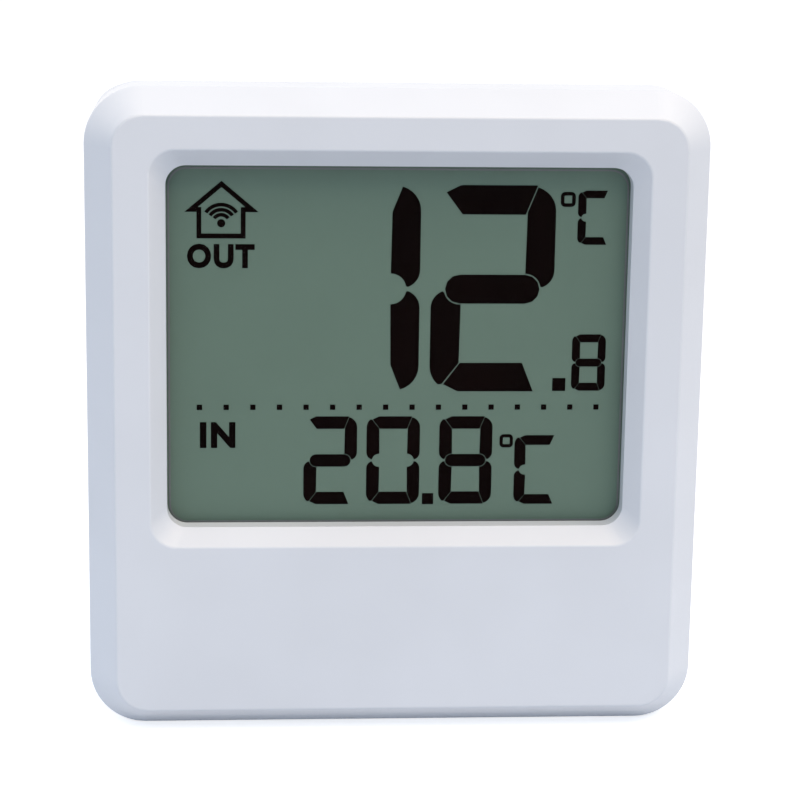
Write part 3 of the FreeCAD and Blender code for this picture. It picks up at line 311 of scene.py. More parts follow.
# Places on the display, in millimetres from the upper left corner of the visible area.
# A point is given as left, top and size, a degree ring as left, top, size and line,
# a unit letter as left, top, height and width, and a word as left, top, right and bottom.
LARGE_TOP = 2.13
LARGE_ONE_LEFT = 17.5
LARGE_TWO_LEFT = 36.25
SMALL_LEFT = 56.25
SMALL_TOP = 23.05
OUTDOOR_POINT = (53.6, 29.3, 1.85)
OUTDOOR_RING = (54.05, 3.0, 2.08, 0.5)
OUTDOOR_UNIT = (56.5, 2.8, 7.55, 4.8)
MIDDLE_TOP = 34.8
MIDDLE_LEFTS = (18.7, 27.55, 37.8)
INDOOR_POINT = (35.5, 45.95, 1.6)
INDOOR_RING = (46.35, 37.4, 1.9, 0.46)
INDOOR_UNIT = (48.5, 37.55, 10.0, 6.6)
RING_SIZE_TO_CORNER = 3.4
PLACE_WORDS = {"OUT": (2.5, 10.43, 11.8, 13.85), "IN": (4.2, 35.6, 9.15, 39.3)}
DOT_COUNT = 16
DOT_LEFT = 3.78
DOT_PITCH = 3.717
DOT_TOP = 33.1
DOT_SIZE = 0.74

# The house mark: its outline from the roof's peak round to the right, its dot and its waves
HOUSE_OUTLINE = (
    (7.25, 1.74),
    (12.32, 6.02),
    (10.54, 6.02),
    (10.54, 9.68),
    (3.82, 9.68),
    (3.82, 6.02),
    (2.18, 6.02),
)
HOUSE_LINE = 0.66
SOURCE_PLACE = (7.2, 7.58)
SOURCE_RADIUS = 0.56
SOURCE_SIDES = 24
WAVE_RADII = (1.42, 2.12, 2.82)
WAVE_LINE = 0.5
WAVE_START = 215
WAVE_END = 325
WAVE_STEPS = 12


def display_point(across, down):
    """Turn a place on the display into X and Z in the frame."""
    return (VISIBLE_LEFT + across) * MM, (VISIBLE_TOP - down) * MM


def add_face(mesh, outline, depth):
    """Fill an outline of display points with one flat face."""
    corners = []
    for across, down in outline:
        x, z = display_point(across, down)
        corners.append(mesh.verts.new((x, depth, z)))
    return mesh.faces.new(corners)


def thicken(mesh, faces, reach):
    """Give flat faces that lie side by side one thickness along Y."""
    grown = bmesh.ops.extrude_face_region(mesh, geom=faces)
    moved = [item for item in grown["geom"] if isinstance(item, bmesh.types.BMVert)]
    bmesh.ops.translate(mesh, vec=(0, reach, 0), verts=moved)


def add_plate(mesh, outline, front, back):
    """Add a plate with the shape of an outline."""
    thicken(mesh, [add_face(mesh, outline, front)], back - front)


# Corners closer than this, in metres, become one
WELD_DISTANCE = 1e-7


def finish_piece(name, mesh, material, body="root"):
    """Close a piece, give it its finish and let it ride on a body."""
    bmesh.ops.remove_doubles(mesh, verts=mesh.verts, dist=WELD_DISTANCE)
    bmesh.ops.recalc_face_normals(mesh, faces=mesh.faces)
    data = bpy.data.meshes.new(name)
    mesh.to_mesh(data)
    mesh.free()
    data.materials.append(material)
    piece = bpy.data.objects.new(name, data)
    bpy.context.scene.collection.objects.link(piece)
    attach(piece, body)


# Depths of the display pieces. They lie just inside the back of the clear window.
SHEET_FRONT = FILM_LOW.y - 0.12 * MM
SHEET_BACK = FILM_LOW.y - 0.04 * MM
# The dark line round the sheet is painted shade: it stands for the shadow in the gap at the
# window's edge
GAP_SHADE_FRONT = SHEET_FRONT - 0.06 * MM
GAP_SHADE_BACK = SHEET_FRONT + 0.02 * MM
SEGMENT_FRONT = SHEET_FRONT - 0.05 * MM
SEGMENT_BACK = SHEET_FRONT + 0.03 * MM

# Edges of the sheet and of the dark line round it that paints the shade of the gap at the
# window's edge, in millimetres
SHEET_MARGIN = 0.2
SHEET_CORNER = 1.0
GAP_SHADE_OVERLAP = 0.15
GAP_SHADE_CORNER = 2.6
GAP_SHADE_LINE = 0.25


def add_glyph(mesh, glyph, left, top, height, width=None):
    """Add the dark segments of one digit or letter."""
    height_share = height / DIGIT_HEIGHT
    width_share = height_share if width is None else width / DIGIT_WIDTH
    drawings = segment_drawings()
    for segment in SEGMENTS_OF[glyph]:
        outline = scaled(drawings[segment], width_share, height_share, left, top)
        add_plate(mesh, outline, SEGMENT_FRONT, SEGMENT_BACK)


def add_square(mesh, left, top, size):
    """Add one dark square."""
    right = left + size
    bottom = top + size
    corners = [(left, top), (right, top), (right, bottom), (left, bottom)]
    add_plate(mesh, corners, SEGMENT_FRONT, SEGMENT_BACK)


def rounded_box(left, top, right, bottom, radius):
    """Outline of a box with round corners."""
    return (
        arc((right - radius, top + radius), radius, -90, 0)
        + arc((right - radius, bottom - radius), radius, 0, 90)
        + arc((left + radius, bottom - radius), radius, 90, 180)
        + arc((left + radius, top + radius), radius, 180, 270)
    )


def add_hollow(mesh, outline, line, front=SEGMENT_FRONT, back=SEGMENT_BACK):
    """Add a closed outline drawn as a line of even width inside its edge."""
    face = add_face(mesh, outline, front)
    face.normal_update()
    rim = bmesh.ops.inset_region(
        mesh, faces=[face], thickness=line * MM, use_even_offset=True, use_boundary=True
    )
    bmesh.ops.delete(mesh, geom=[face], context="FACES_ONLY")
    thicken(mesh, rim["faces"], back - front)


def degree_ring(mesh, left, top, size, line):
    """Add the small square ring of a degree sign."""
    outline = rounded_box(left, top, left + size, top + size, size / RING_SIZE_TO_CORNER)
    add_hollow(mesh, outline, line)


class Finish:
    """A material with a Principled shader and the nodes that feed it."""

    def __init__(self, name, colour, roughness, metallic=0.0, **sockets):
        self.material = bpy.data.materials.new(name)
        self.material.use_nodes = True
        self.tree = self.material.node_tree
        self.tree.nodes.clear()
        self.output = self.node("ShaderNodeOutputMaterial")
        self.shader = self.node("ShaderNodeBsdfPrincipled")
        self.tree.links.new(self.shader.outputs["BSDF"], self.output.inputs["Surface"])
        self.shader.inputs["Base Color"].default_value = (*colour, 1)
        self.shader.inputs["Roughness"].default_value = roughness
        self.shader.inputs["Metallic"].default_value = metallic
        for socket, value in sockets.items():
            self.shader.inputs[socket.replace("_", " ")].default_value = value
        self.place = self.node("ShaderNodeTexCoord").outputs["Object"]

    def node(self, kind, **settings):
        """Add a node of one kind and set its options."""
        node = self.tree.nodes.new(kind)
        for key, value in settings.items():
            setattr(node, key, value)
        return node

    def group(self, name, **inputs):
        """Place a node group, fed with the surface's place and its own values."""
        node = self.node("ShaderNodeGroup", node_tree=bpy.data.node_groups[name])
        self.tree.links.new(self.place, node.inputs["Place"])
        for socket, value in inputs.items():
            node.inputs[socket.replace("_", " ")].default_value = value
        return node

    def feed(self, output, socket):
        """Lead a value into one of the shader's sockets."""
        self.tree.links.new(output, self.shader.inputs[socket])

    def bump(self, height, distance):
        """Turn a height into the shader's normal."""
        node = self.node("ShaderNodeBump")
        node.inputs["Distance"].default_value = distance
        self.tree.links.new(height, node.inputs["Height"])
        self.feed(node.outputs["Normal"], "Normal")

    def ramp(self, value, *stops):
        """Colour a value by stops of place and colour."""
        node = self.node("ShaderNodeValToRGB")
        elements = node.color_ramp.elements
        while len(elements) < len(stops):
            elements.new(0.5)
        for element, (place, colour) in zip(elements, stops):
            element.position = place
            element.color = (*colour, 1)
        self.tree.links.new(value, node.inputs["Fac"])
        return node.outputs["Color"]


def new_group(name, sockets, outputs):
    """Start a node group that takes a place and its own values, with its ends."""
    tree = bpy.data.node_groups.new(name, "ShaderNodeTree")
    tree.interface.new_socket("Place", in_out="INPUT", socket_type="NodeSocketVector")
    for socket, kind, value in sockets:
        item = tree.interface.new_socket(socket, in_out="INPUT", socket_type=kind)
        item.default_value = value
    for socket, kind in outputs:
        tree.interface.new_socket(socket, in_out="OUTPUT", socket_type=kind)
    return tree, tree.nodes.new("NodeGroupInput"), tree.nodes.new("NodeGroupOutput")


def moulded_grain_group():
    """Fine moulded texture: a height for the bump and a roughness that changes with it."""
    sockets = [
        ("Grains per metre", "NodeSocketFloat", 3000.0),
        ("Smooth roughness", "NodeSocketFloat", 0.4),
        ("Coarse roughness", "NodeSocketFloat", 0.55),
    ]
    outputs = [("Height", "NodeSocketFloat"), ("Roughness", "NodeSocketFloat")]
    tree, given, result = new_group("moulded_grain", sockets, outputs)
    noise = tree.nodes.new("ShaderNodeTexNoise")
    noise.inputs["Detail"].default_value = 3.0
    spread = tree.nodes.new("ShaderNodeMapRange")
    spread.inputs["From Min"].default_value = 0.3
    spread.inputs["From Max"].default_value = 0.7
    links = tree.links
    links.new(given.outputs["Place"], noise.inputs["Vector"])
    links.new(given.outputs["Grains per metre"], noise.inputs["Scale"])
    links.new(noise.outputs["Fac"], spread.inputs["Value"])
    links.new(given.outputs["Smooth roughness"], spread.inputs["To Min"])
    links.new(given.outputs["Coarse roughness"], spread.inputs["To Max"])
    links.new(noise.outputs["Fac"], result.inputs["Height"])
    links.new(spread.outputs["Result"], result.inputs["Roughness"])


def soft_mottle_group():
    """Slow colour change over a surface, as plastic and paint show."""
    sockets = [
        ("First colour", "NodeSocketColor", (0.5, 0.5, 0.5, 1)),
        ("Second colour", "NodeSocketColor", (0.6, 0.6, 0.6, 1)),
        ("Patches per metre", "NodeSocketFloat", 60.0),
    ]
    tree, given, result = new_group("soft_mottle", sockets, [("Colour", "NodeSocketColor")])
    noise = tree.nodes.new("ShaderNodeTexNoise")
    noise.inputs["Detail"].default_value = 2.0
    spread = tree.nodes.new("ShaderNodeMapRange")
    spread.inputs["From Min"].default_value = 0.35
    spread.inputs["From Max"].default_value = 0.65
    mix = tree.nodes.new("ShaderNodeMix")
    mix.data_type = "RGBA"
    links = tree.links
    links.new(given.outputs["Place"], noise.inputs["Vector"])
    links.new(given.outputs["Patches per metre"], noise.inputs["Scale"])
    links.new(noise.outputs["Fac"], spread.inputs["Value"])
    links.new(spread.outputs["Result"], mix.inputs["Factor"])
    links.new(given.outputs["First colour"], mix.inputs["A"])
    links.new(given.outputs["Second colour"], mix.inputs["B"])
    links.new(mix.outputs["Result"], result.inputs["Colour"])


def shade(colour, share):
    """A colour made darker or lighter by a share."""
    return tuple(min(1.0, part * share) for part in colour)


# How far the grain makes moulded plastic smoother and rougher, and the patches of its tone
GRAIN_SMOOTHER = 0.06
GRAIN_COARSER = 0.08
TONE_PATCHES = 45.0
TONE_SPREAD = 0.02


def moulded_plastic(name, colour, roughness, grain, depth, spread=TONE_SPREAD):
    """Moulded plastic with a fine grain and a very soft change of tone."""
    finish = Finish(name, colour, roughness)
    texture = finish.group(
        "moulded_grain",
        Grains_per_metre=1 / grain,
        Smooth_roughness=roughness - GRAIN_SMOOTHER,
        Coarse_roughness=roughness + GRAIN_COARSER,
    )
    tone = finish.group(
        "soft_mottle",
        First_colour=(*shade(colour, 1 - spread), 1),
        Second_colour=(*shade(colour, 1 + spread), 1),
        Patches_per_metre=TONE_PATCHES,
    )
    finish.feed(tone.outputs["Colour"], "Base Color")
    finish.feed(texture.outputs["Roughness"], "Roughness")
    finish.bump(texture.outputs["Height"], depth)
    return finish.material


def metal(name, colour, roughness, stretch):
    """Plated or drawn metal with fine lines along one axis."""
    finish = Finish(name, colour, roughness, metallic=1.0)
    mapping = finish.node("ShaderNodeMapping")
    mapping.inputs["Scale"].default_value = stretch
    finish.tree.links.new(finish.place, mapping.inputs["Vector"])
    noise = finish.node("ShaderNodeTexNoise")
    noise.inputs["Scale"].default_value = 400.0
    noise.inputs["Detail"].default_value = 4.0
    finish.tree.links.new(mapping.outputs["Vector"], noise.inputs["Vector"])
    spread = finish.node("ShaderNodeMapRange")
    spread.inputs["To Min"].default_value = roughness - 0.1
    spread.inputs["To Max"].default_value = roughness + 0.14
    finish.tree.links.new(noise.outputs["Fac"], spread.inputs["Value"])
    finish.feed(spread.outputs["Result"], "Roughness")
    finish.bump(noise.outputs["Fac"], 0.01 * MM)
    return finish.material


# How much of the window's own surface shows, seen straight and at a low angle
WINDOW_STRAIGHT = 0.012
WINDOW_SLANTED = 0.5


def clear_window_finish():
    """Clear moulded window that shows what lies behind it and mirrors at a low angle."""
    finish = Finish("clear_window", (0.012, 0.014, 0.013), 0.06)
    mirror = finish.node("ShaderNodeLayerWeight")
    mirror.inputs["Blend"].default_value = 0.2
    spread = finish.node("ShaderNodeMapRange")
    spread.inputs["To Min"].default_value = WINDOW_STRAIGHT
    spread.inputs["To Max"].default_value = WINDOW_SLANTED
    finish.tree.links.new(mirror.outputs["Fresnel"], spread.inputs["Value"])
    finish.feed(spread.outputs["Result"], "Alpha")
    texture = finish.group(
        "moulded_grain",
        Grains_per_metre=300.0,
        Smooth_roughness=0.04,
        Coarse_roughness=0.10,
    )
    finish.feed(texture.outputs["Roughness"], "Roughness")
    return finish.material


def display_sheet_finish(colour):
    """Grey-green display with a faint grain."""
    finish = Finish("display_sheet", colour, 0.45, Specular_IOR_Level=0.2)
    tone = finish.group(
        "soft_mottle",
        First_colour=(*shade(colour, 0.985), 1),
        Second_colour=(*shade(colour, 1.015), 1),
        Patches_per_metre=90.0,
    )
    finish.feed(tone.outputs["Colour"], "Base Color")
    return finish.material


def segment_finish(colour):
    """Dark liquid-crystal segment, a little uneven in tone."""
    finish = Finish("display_segment", colour, 0.5, Specular_IOR_Level=0.02)
    tone = finish.group(
        "soft_mottle",
        First_colour=(*colour, 1),
        Second_colour=(*shade(colour, 1.6), 1),
        Patches_per_metre=120.0,
    )
    finish.feed(tone.outputs["Colour"], "Base Color")
    return finish.material


def circuit_board_finish():
    """Green solder mask over copper tracks."""
    finish = Finish("circuit_board", (0.02, 0.12, 0.05), 0.35, Coat_Weight=0.3)
    tracks = finish.node("ShaderNodeTexBrick")
    tracks.inputs["Scale"].default_value = 160.0
    tracks.inputs["Mortar Size"].default_value = 0.035
    tracks.inputs["Color1"].default_value = (0.015, 0.11, 0.045, 1)
    tracks.inputs["Color2"].default_value = (0.020, 0.13, 0.055, 1)
    tracks.inputs["Mortar"].default_value = (0.05, 0.24, 0.09, 1)
    turned = finish.node("ShaderNodeMapping")
    turned.inputs["Rotation"].default_value = (math.pi / 2, 0, 0)
    finish.tree.links.new(finish.place, turned.inputs["Vector"])
    finish.tree.links.new(turned.outputs["Vector"], tracks.inputs["Vector"])
    finish.feed(tracks.outputs["Color"], "Base Color")
    finish.bump(tracks.outputs["Fac"], 0.03 * MM)
    return finish.material


def striped(name, first, second, axis, scale, roughness):
    """Even stripes across one axis."""
    finish = Finish(name, first, roughness)
    wave = finish.node("ShaderNodeTexWave", bands_direction=axis)
    wave.inputs["Scale"].default_value = scale
    wave.inputs["Distortion"].default_value = 0.0
    finish.tree.links.new(finish.place, wave.inputs["Vector"])
    colour = finish.ramp(wave.outputs["Fac"], (0.45, first), (0.55, second))
    finish.feed(colour, "Base Color")
    finish.bump(wave.outputs["Fac"], 0.02 * MM)
    return finish.material


# Colours of a cell, and where each starts on the way from its flat end to its raised end
CELL_STEEL = (0.55, 0.55, 0.54)
CELL_SLEEVE = (0.05, 0.13, 0.22)
CELL_BAND = (0.62, 0.60, 0.56)
SLEEVE_START = 0.035
BAND_START = 0.70
BAND_END = 0.955


def cell_finish(name, low, high):
    """Cell sleeve with a band near its raised end, printed over metal."""
    finish = Finish(name, CELL_SLEEVE, 0.3, metallic=0.6)
    split = finish.node("ShaderNodeSeparateXYZ")
    finish.tree.links.new(finish.place, split.inputs["Vector"])
    spread = finish.node("ShaderNodeMapRange")
    spread.inputs["From Min"].default_value = low
    spread.inputs["From Max"].default_value = high
    finish.tree.links.new(split.outputs["X"], spread.inputs["Value"])
    colour = finish.ramp(
        spread.outputs["Result"],
        (0.0, CELL_STEEL),
        (SLEEVE_START, CELL_SLEEVE),
        (BAND_START, CELL_BAND),
        (BAND_END, CELL_STEEL),
    )
    colour.node.color_ramp.interpolation = "CONSTANT"
    finish.feed(colour, "Base Color")
    texture = finish.group(
        "moulded_grain",
        Grains_per_metre=2600.0,
        Smooth_roughness=0.26,
        Coarse_roughness=0.32,
    )
    finish.feed(texture.outputs["Roughness"], "Roughness")
    return finish.material


def seen_straight(tree):
    """One for rays that come from the camera, also by way of a mirror or a window, else zero."""
    path = tree.nodes.new("ShaderNodeLightPath")
    total = path.outputs["Is Camera Ray"]
    for ray in ("Is Glossy Ray", "Is Transmission Ray"):
        add = tree.nodes.new("ShaderNodeMath")
        add.operation = "ADD"
        add.use_clamp = True
        tree.links.new(total, add.inputs[0])
        tree.links.new(path.outputs[ray], add.inputs[1])
        total = add.outputs["Value"]
    return total


def dress(material, *nodes):
    """Give CAD nodes one finish."""
    for name in nodes:
        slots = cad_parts[name].data.materials
        slots.clear()
        slots.append(material)


def use_finish(name):
    """Find a finish that has been made."""
    return bpy.data.materials[name]


# Moulded finishes: name, colour, roughness, and width and depth of the grain in millimetres
MOULDED_FINISHES = (
    ("grey_print", (0.16, 0.18, 0.22), 0.6, 0.2, 0.001),
    ("pale_print", (0.62, 0.63, 0.62), 0.5, 0.2, 0.001),
    ("dark_print", (0.03, 0.03, 0.035), 0.6, 0.2, 0.001),
    # This dark grey is painted shade, the shadow in the gap between the window's edge and the
    # display
    ("painted_gap_shade", (0.20, 0.22, 0.235), 0.6, 0.3, 0.002),
    ("display_film", (0.12, 0.16, 0.14), 0.4, 0.4, 0.002),
    ("display_glass", (0.42, 0.48, 0.45), 0.12, 1.5, 0.001),
    ("holder_plastic", (0.62, 0.61, 0.58), 0.5, 0.6, 0.01),
    ("black_resin", (0.012, 0.012, 0.013), 0.42, 0.5, 0.02),
    ("pale_silicone", (0.66, 0.66, 0.63), 0.6, 0.8, 0.01),
)
WEARERS = {
    "display_film": ("front_polariser", "rear_reflector"),
    "display_glass": ("lcd_front_glass", "lcd_rear_glass"),
    "holder_plastic": ("display_holder",),
    "black_resin": ("controller_blob", "receiver_chip", "pin_header", "temperature_probe"),
    "pale_silicone": ("memory_dome", "clear_dome", "unit_dome"),
}

# Finishes of the wires: name, colour and the node that wears it
LEADS = (
    ("lead_black", (0.015, 0.015, 0.016), "negative_lead"),
    ("lead_red", (0.36, 0.012, 0.010), "positive_lead"),
    ("lead_brown", (0.16, 0.06, 0.03), "antenna_wire"),
)

# The rear shell beside the front one: its tone and its grain, as shares
REAR_TONE = 0.97
REAR_GRAIN = 1.6


class STATION_OT_finishes(bpy.types.Operator):
    """Build the finishes and give each carried-over solid its own"""

    bl_idname = "station.finishes"
    bl_label = "Make Finishes"

    def execute(self, context):
        moulded_grain_group()
        soft_mottle_group()
        self.finish_case(context.scene.station_housing)
        display = context.scene.station_display
        dress(clear_window_finish(), "display_window")
        display_sheet_finish(tuple(display.sheet_colour))
        segment_finish(tuple(display.segment_colour))
        for name, colour, roughness, grain, depth in MOULDED_FINISHES:
            material = moulded_plastic(name, colour, roughness, grain * MM, depth * MM)
            dress(material, *WEARERS.get(name, ()))
        self.finish_inside()
        return {"FINISHED"}

    def finish_case(self, look):
        """Finish the shells, the door, the stand and the buttons."""
        shell = tuple(look.shell_colour)
        front = moulded_plastic(
            "shell_front", shell, roughness=0.42, grain=look.grain_size, depth=0.004 * MM
        )
        dress(front, "front_housing")
        rear = moulded_plastic(
            "shell_rear",
            shade(shell, REAR_TONE),
            roughness=0.55,
            grain=look.grain_size * REAR_GRAIN,
            depth=0.02 * MM,
        )
        dress(rear, "rear_housing", "battery_door", "folding_stand")
        button = moulded_plastic(
            "button_plastic",
            tuple(look.button_colour),
            roughness=0.4,
            grain=0.4 * MM,
            depth=0.006 * MM,
        )
        dress(button, "memory_button", "clear_button", "unit_button")

    def finish_inside(self):
        """Finish the boards, contacts, screws, leads, foam and cells."""
        dress(circuit_board_finish(), "main_board", "receiver_board")
        connector = striped(
            "zebra_strip",
            first=(0.02, 0.02, 0.02),
            second=(0.45, 0.42, 0.38),
            axis="X",
            scale=150.0,
            roughness=0.6,
        )
        dress(connector, "elastomer_connector")
        can = striped(
            "capacitor_sleeve",
            first=(0.02, 0.03, 0.08),
            second=(0.03, 0.045, 0.11),
            axis="X",
            scale=3.0,
            roughness=0.35,
        )
        dress(can, "filter_capacitor")
        plated = metal("plated_steel", (0.66, 0.65, 0.62), roughness=0.28, stretch=(1, 1, 12))
        dress(plated, "bridge_contact", "negative_contact", "positive_contact", "clock_crystal")
        screw = metal("screw_steel", (0.52, 0.52, 0.53), roughness=0.34, stretch=(4, 1, 4))
        dress(screw, "housing_screws", "board_screws")
        for name, colour, node in LEADS:
            lead = moulded_plastic(
                name, colour, roughness=0.45, grain=0.5 * MM, depth=0.004 * MM, spread=0.08
            )
            dress(lead, node)
        foam = moulded_plastic(
            "foam",
            (0.02, 0.02, 0.022),
            roughness=0.95,
            grain=0.5 * MM,
            depth=0.15 * MM,
            spread=0.2,
        )
        dress(foam, "cell_pad")
        for node, raised in CELLS.items():
            low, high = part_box(node)
            ends = (low.x, high.x) if raised > 0 else (high.x, low.x)
            dress(cell_finish(f"{node}_sleeve", *ends), node)


class STATION_OT_display_sheet(bpy.types.Operator):
    """Lay the grey-green display sheet and the dark line round it, which paints the shade in the
    gap at the window's edge
    """

    bl_idname = "station.display_sheet"
    bl_label = "Lay Display Sheet"

    def execute(self, context):
        mesh = bmesh.new()
        left = FILM_LOW.x / MM - VISIBLE_LEFT + SHEET_MARGIN
        right = FILM_HIGH.x / MM - VISIBLE_LEFT - SHEET_MARGIN
        top = VISIBLE_TOP - FILM_HIGH.z / MM + SHEET_MARGIN
        bottom = VISIBLE_TOP - FILM_LOW.z / MM - SHEET_MARGIN
        outline = rounded_box(left, top, right, bottom, SHEET_CORNER)
        add_plate(mesh, outline, SHEET_FRONT, SHEET_BACK)
        finish_piece("display_sheet", mesh, use_finish("display_sheet"))
        # A thin dark line round the opening, painted in place of the shade in the gap at the
        # window's edge
        gap_shade = bmesh.new()
        right = SEEN_WIDTH + GAP_SHADE_OVERLAP
        bottom = SEEN_HEIGHT + GAP_SHADE_OVERLAP
        opening = rounded_box(-GAP_SHADE_OVERLAP, -GAP_SHADE_OVERLAP, right, bottom, GAP_SHADE_CORNER)
        add_hollow(gap_shade, opening, GAP_SHADE_LINE, GAP_SHADE_FRONT, GAP_SHADE_BACK)
        finish_piece("display_gap_shade", gap_shade, use_finish("painted_gap_shade"))
        return {"FINISHED"}


class STATION_OT_outdoor_reading(bpy.types.Operator):
    """Set the outdoor digits, their point and their unit"""

    bl_idname = "station.outdoor_reading"
    bl_label = "Set Outdoor Reading"

    def execute(self, context):
        display = context.scene.station_display
        large = display.large_height / MM
        small = display.small_height / MM
        mesh = bmesh.new()
        add_glyph(mesh, "1", LARGE_ONE_LEFT, LARGE_TOP, large)
        add_glyph(mesh, "2", LARGE_TWO_LEFT, LARGE_TOP, large)
        add_glyph(mesh, "8", SMALL_LEFT, SMALL_TOP, small)
        add_square(mesh, *OUTDOOR_POINT)
        degree_ring(mesh, *OUTDOOR_RING)
        add_glyph(mesh, "C", *OUTDOOR_UNIT)
        finish_piece("outdoor_reading", mesh, use_finish("display_segment"))
        return {"FINISHED"}


class STATION_OT_indoor_reading(bpy.types.Operator):
    """Set the indoor digits, their point and their unit"""

    bl_idname = "station.indoor_reading"
    bl_label = "Set Indoor Reading"

    def execute(self, context):
        display = context.scene.station_display
        height = display.middle_height / MM
        mesh = bmesh.new()
        for glyph, left in zip("208", MIDDLE_LEFTS):
            add_glyph(mesh, glyph, left, MIDDLE_TOP, height)
        add_square(mesh, *INDOOR_POINT)
        degree_ring(mesh, *INDOOR_RING)
        add_glyph(mesh, "C", *INDOOR_UNIT)
        finish_piece("indoor_reading", mesh, use_finish("display_segment"))
        return {"FINISHED"}


class STATION_OT_dotted_line(bpy.types.Operator):
    """Set the row of dots between the two readings"""

    bl_idname = "station.dotted_line"
    bl_label = "Set Dotted Line"

    def execute(self, context):
        mesh = bmesh.new()
        for index in range(DOT_COUNT):
            add_square(mesh, DOT_LEFT + DOT_PITCH * index, DOT_TOP, DOT_SIZE)
        finish_piece("dotted_line", mesh, use_finish("display_segment"))
        return {"FINISHED"}


class STATION_OT_house_mark(bpy.types.Operator):
    """Draw the house with its radio waves"""

    bl_idname = "station.house_mark"
    bl_label = "Draw House Mark"

    def execute(self, context):
        mesh = bmesh.new()
        add_hollow(mesh, HOUSE_OUTLINE, HOUSE_LINE)
        last_side = 360 - 360 / SOURCE_SIDES
        source = arc(SOURCE_PLACE, SOURCE_RADIUS, 0, last_side, SOURCE_SIDES - 1)
        add_plate(mesh, source, SEGMENT_FRONT, SEGMENT_BACK)
        for radius in WAVE_RADII:
            outer = arc(SOURCE_PLACE, radius, WAVE_START, WAVE_END, WAVE_STEPS)
            inner = arc(SOURCE_PLACE, radius - WAVE_LINE, WAVE_END, WAVE_START, WAVE_STEPS)
            add_plate(mesh, outer + inner, SEGMENT_FRONT, SEGMENT_BACK)
        finish_piece("house_mark", mesh, use_finish("display_segment"))
        return {"FINISHED"}


def turn_mesh(mesh, angle, axis):
    """Turn a mesh about one axis of the frame."""
    turn = Matrix.Rotation(angle, 3, axis)
    bmesh.ops.rotate(mesh, verts=mesh.verts, cent=(0, 0, 0), matrix=turn)


# Words, before they are fitted into their boxes: thickness, steps of a curved edge, how
# much heavier the words on the display are, and the spacing there and on prints
TEXT_THICKNESS = 0.05
TEXT_CURVE_STEPS = 4
DISPLAY_WORD_WEIGHT = 0.048
DISPLAY_WORD_SPACING = 1.16
PRINT_WORD_SPACING = 1.08


def text_mesh(words, spacing, weight=0.0):
    """Make words a flat mesh that stands upright in the X and Z plane, with its own size."""
    curve = bpy.data.curves.new(words, "FONT")
    curve.body = words
    curve.offset = weight
    curve.space_character = spacing
    curve.extrude = TEXT_THICKNESS
    curve.resolution_u = TEXT_CURVE_STEPS
    maker = bpy.data.objects.new(words, curve)
    bpy.context.scene.collection.objects.link(maker)
    bpy.context.view_layer.update()
    shaped = maker.evaluated_get(bpy.context.evaluated_depsgraph_get())
    data = bpy.data.meshes.new_from_object(shaped)
    bpy.data.objects.remove(maker)
    mesh = bmesh.new()
    mesh.from_mesh(data)
    bpy.data.meshes.remove(data)
    turn_mesh(mesh, math.pi / 2, "X")
    return mesh


def fit_words(mesh, left, right, low, high, front, back, faces_rear=False):
    """Stretch words into a box, and turn them round where they face the rear."""
    if faces_rear:
        turn_mesh(mesh, math.pi, "Z")
    lowest = Vector([min(vert.co[axis] for vert in mesh.verts) for axis in range(3)])
    highest = Vector([max(vert.co[axis] for vert in mesh.verts) for axis in range(3)])
    size = highest - lowest
    bmesh.ops.translate(mesh, verts=mesh.verts, vec=-lowest)
    target = Vector((right - left, back - front, high - low))
    stretch = [target[axis] / size[axis] for axis in range(3)]
    bmesh.ops.scale(mesh, verts=mesh.verts, vec=stretch)
    bmesh.ops.translate(mesh, verts=mesh.verts, vec=(left, front, low))


class STATION_OT_place_words(bpy.types.Operator):
    """Write which reading is outdoors and which is indoors"""

    bl_idname = "station.place_words"
    bl_label = "Write Place Words"

    def execute(self, context):
        for words, (left, top, right, bottom) in PLACE_WORDS.items():
            mesh = text_mesh(words, DISPLAY_WORD_SPACING, DISPLAY_WORD_WEIGHT)
            x_left, z_top = display_point(left, top)
            x_right, z_bottom = display_point(right, bottom)
            fit_words(mesh, x_left, x_right, z_bottom, z_top, SEGMENT_FRONT, SEGMENT_BACK)
            finish_piece(f"{words.lower()}_word", mesh, use_finish("display_segment"))
        return {"FINISHED"}


# Prints on the rear and on the cells, in metres. They are sunk into the surface below them.
PRINT_SINK = 0.04 * MM
PRINT_THICKNESS = 0.02 * MM
BENT_STRIPS = 9
BUTTON_WORD_RISE = 4.3 * MM
BUTTON_WORD_HEIGHT = 1.3 * MM
DOOR_MARK_DROP = 7.6 * MM
DOOR_WORD_DROP = 2.6 * MM
DOOR_WORD_HEIGHT = 1.7 * MM
SLEEVE_LIFT = 0.01 * MM
KIND_SHIFT = 5 * MM
KIND_HEIGHT = 2.4 * MM
PLUS_SHIFT = 16 * MM
PLUS_HEIGHT = 2.6 * MM

# Corners of the arrow above the door's word, across and up, in millimetres
DOOR_ARROW = ((-1.7, 2.1), (1.7, 2.1), (0, 0.2))


def wrap_round(mesh, centre_y, centre_z):
    """Bend flat print round a rod that lies along X, cut into strips so that it bends evenly."""
    up = [vert.co.z for vert in mesh.verts]
    low, high = min(up), max(up)
    for step in range(1, BENT_STRIPS):
        level = low + (high - low) * step / BENT_STRIPS
        parts = mesh.verts[:] + mesh.edges[:] + mesh.faces[:]
        bmesh.ops.bisect_plane(mesh, geom=parts, plane_co=(0, 0, level), plane_no=(0, 0, 1))
    for vert in mesh.verts:
        reach = vert.co.y - centre_y
        angle = (vert.co.z - centre_z) / reach
        vert.co.y = centre_y + reach * math.cos(angle)
        vert.co.z = centre_z + reach * math.sin(angle)


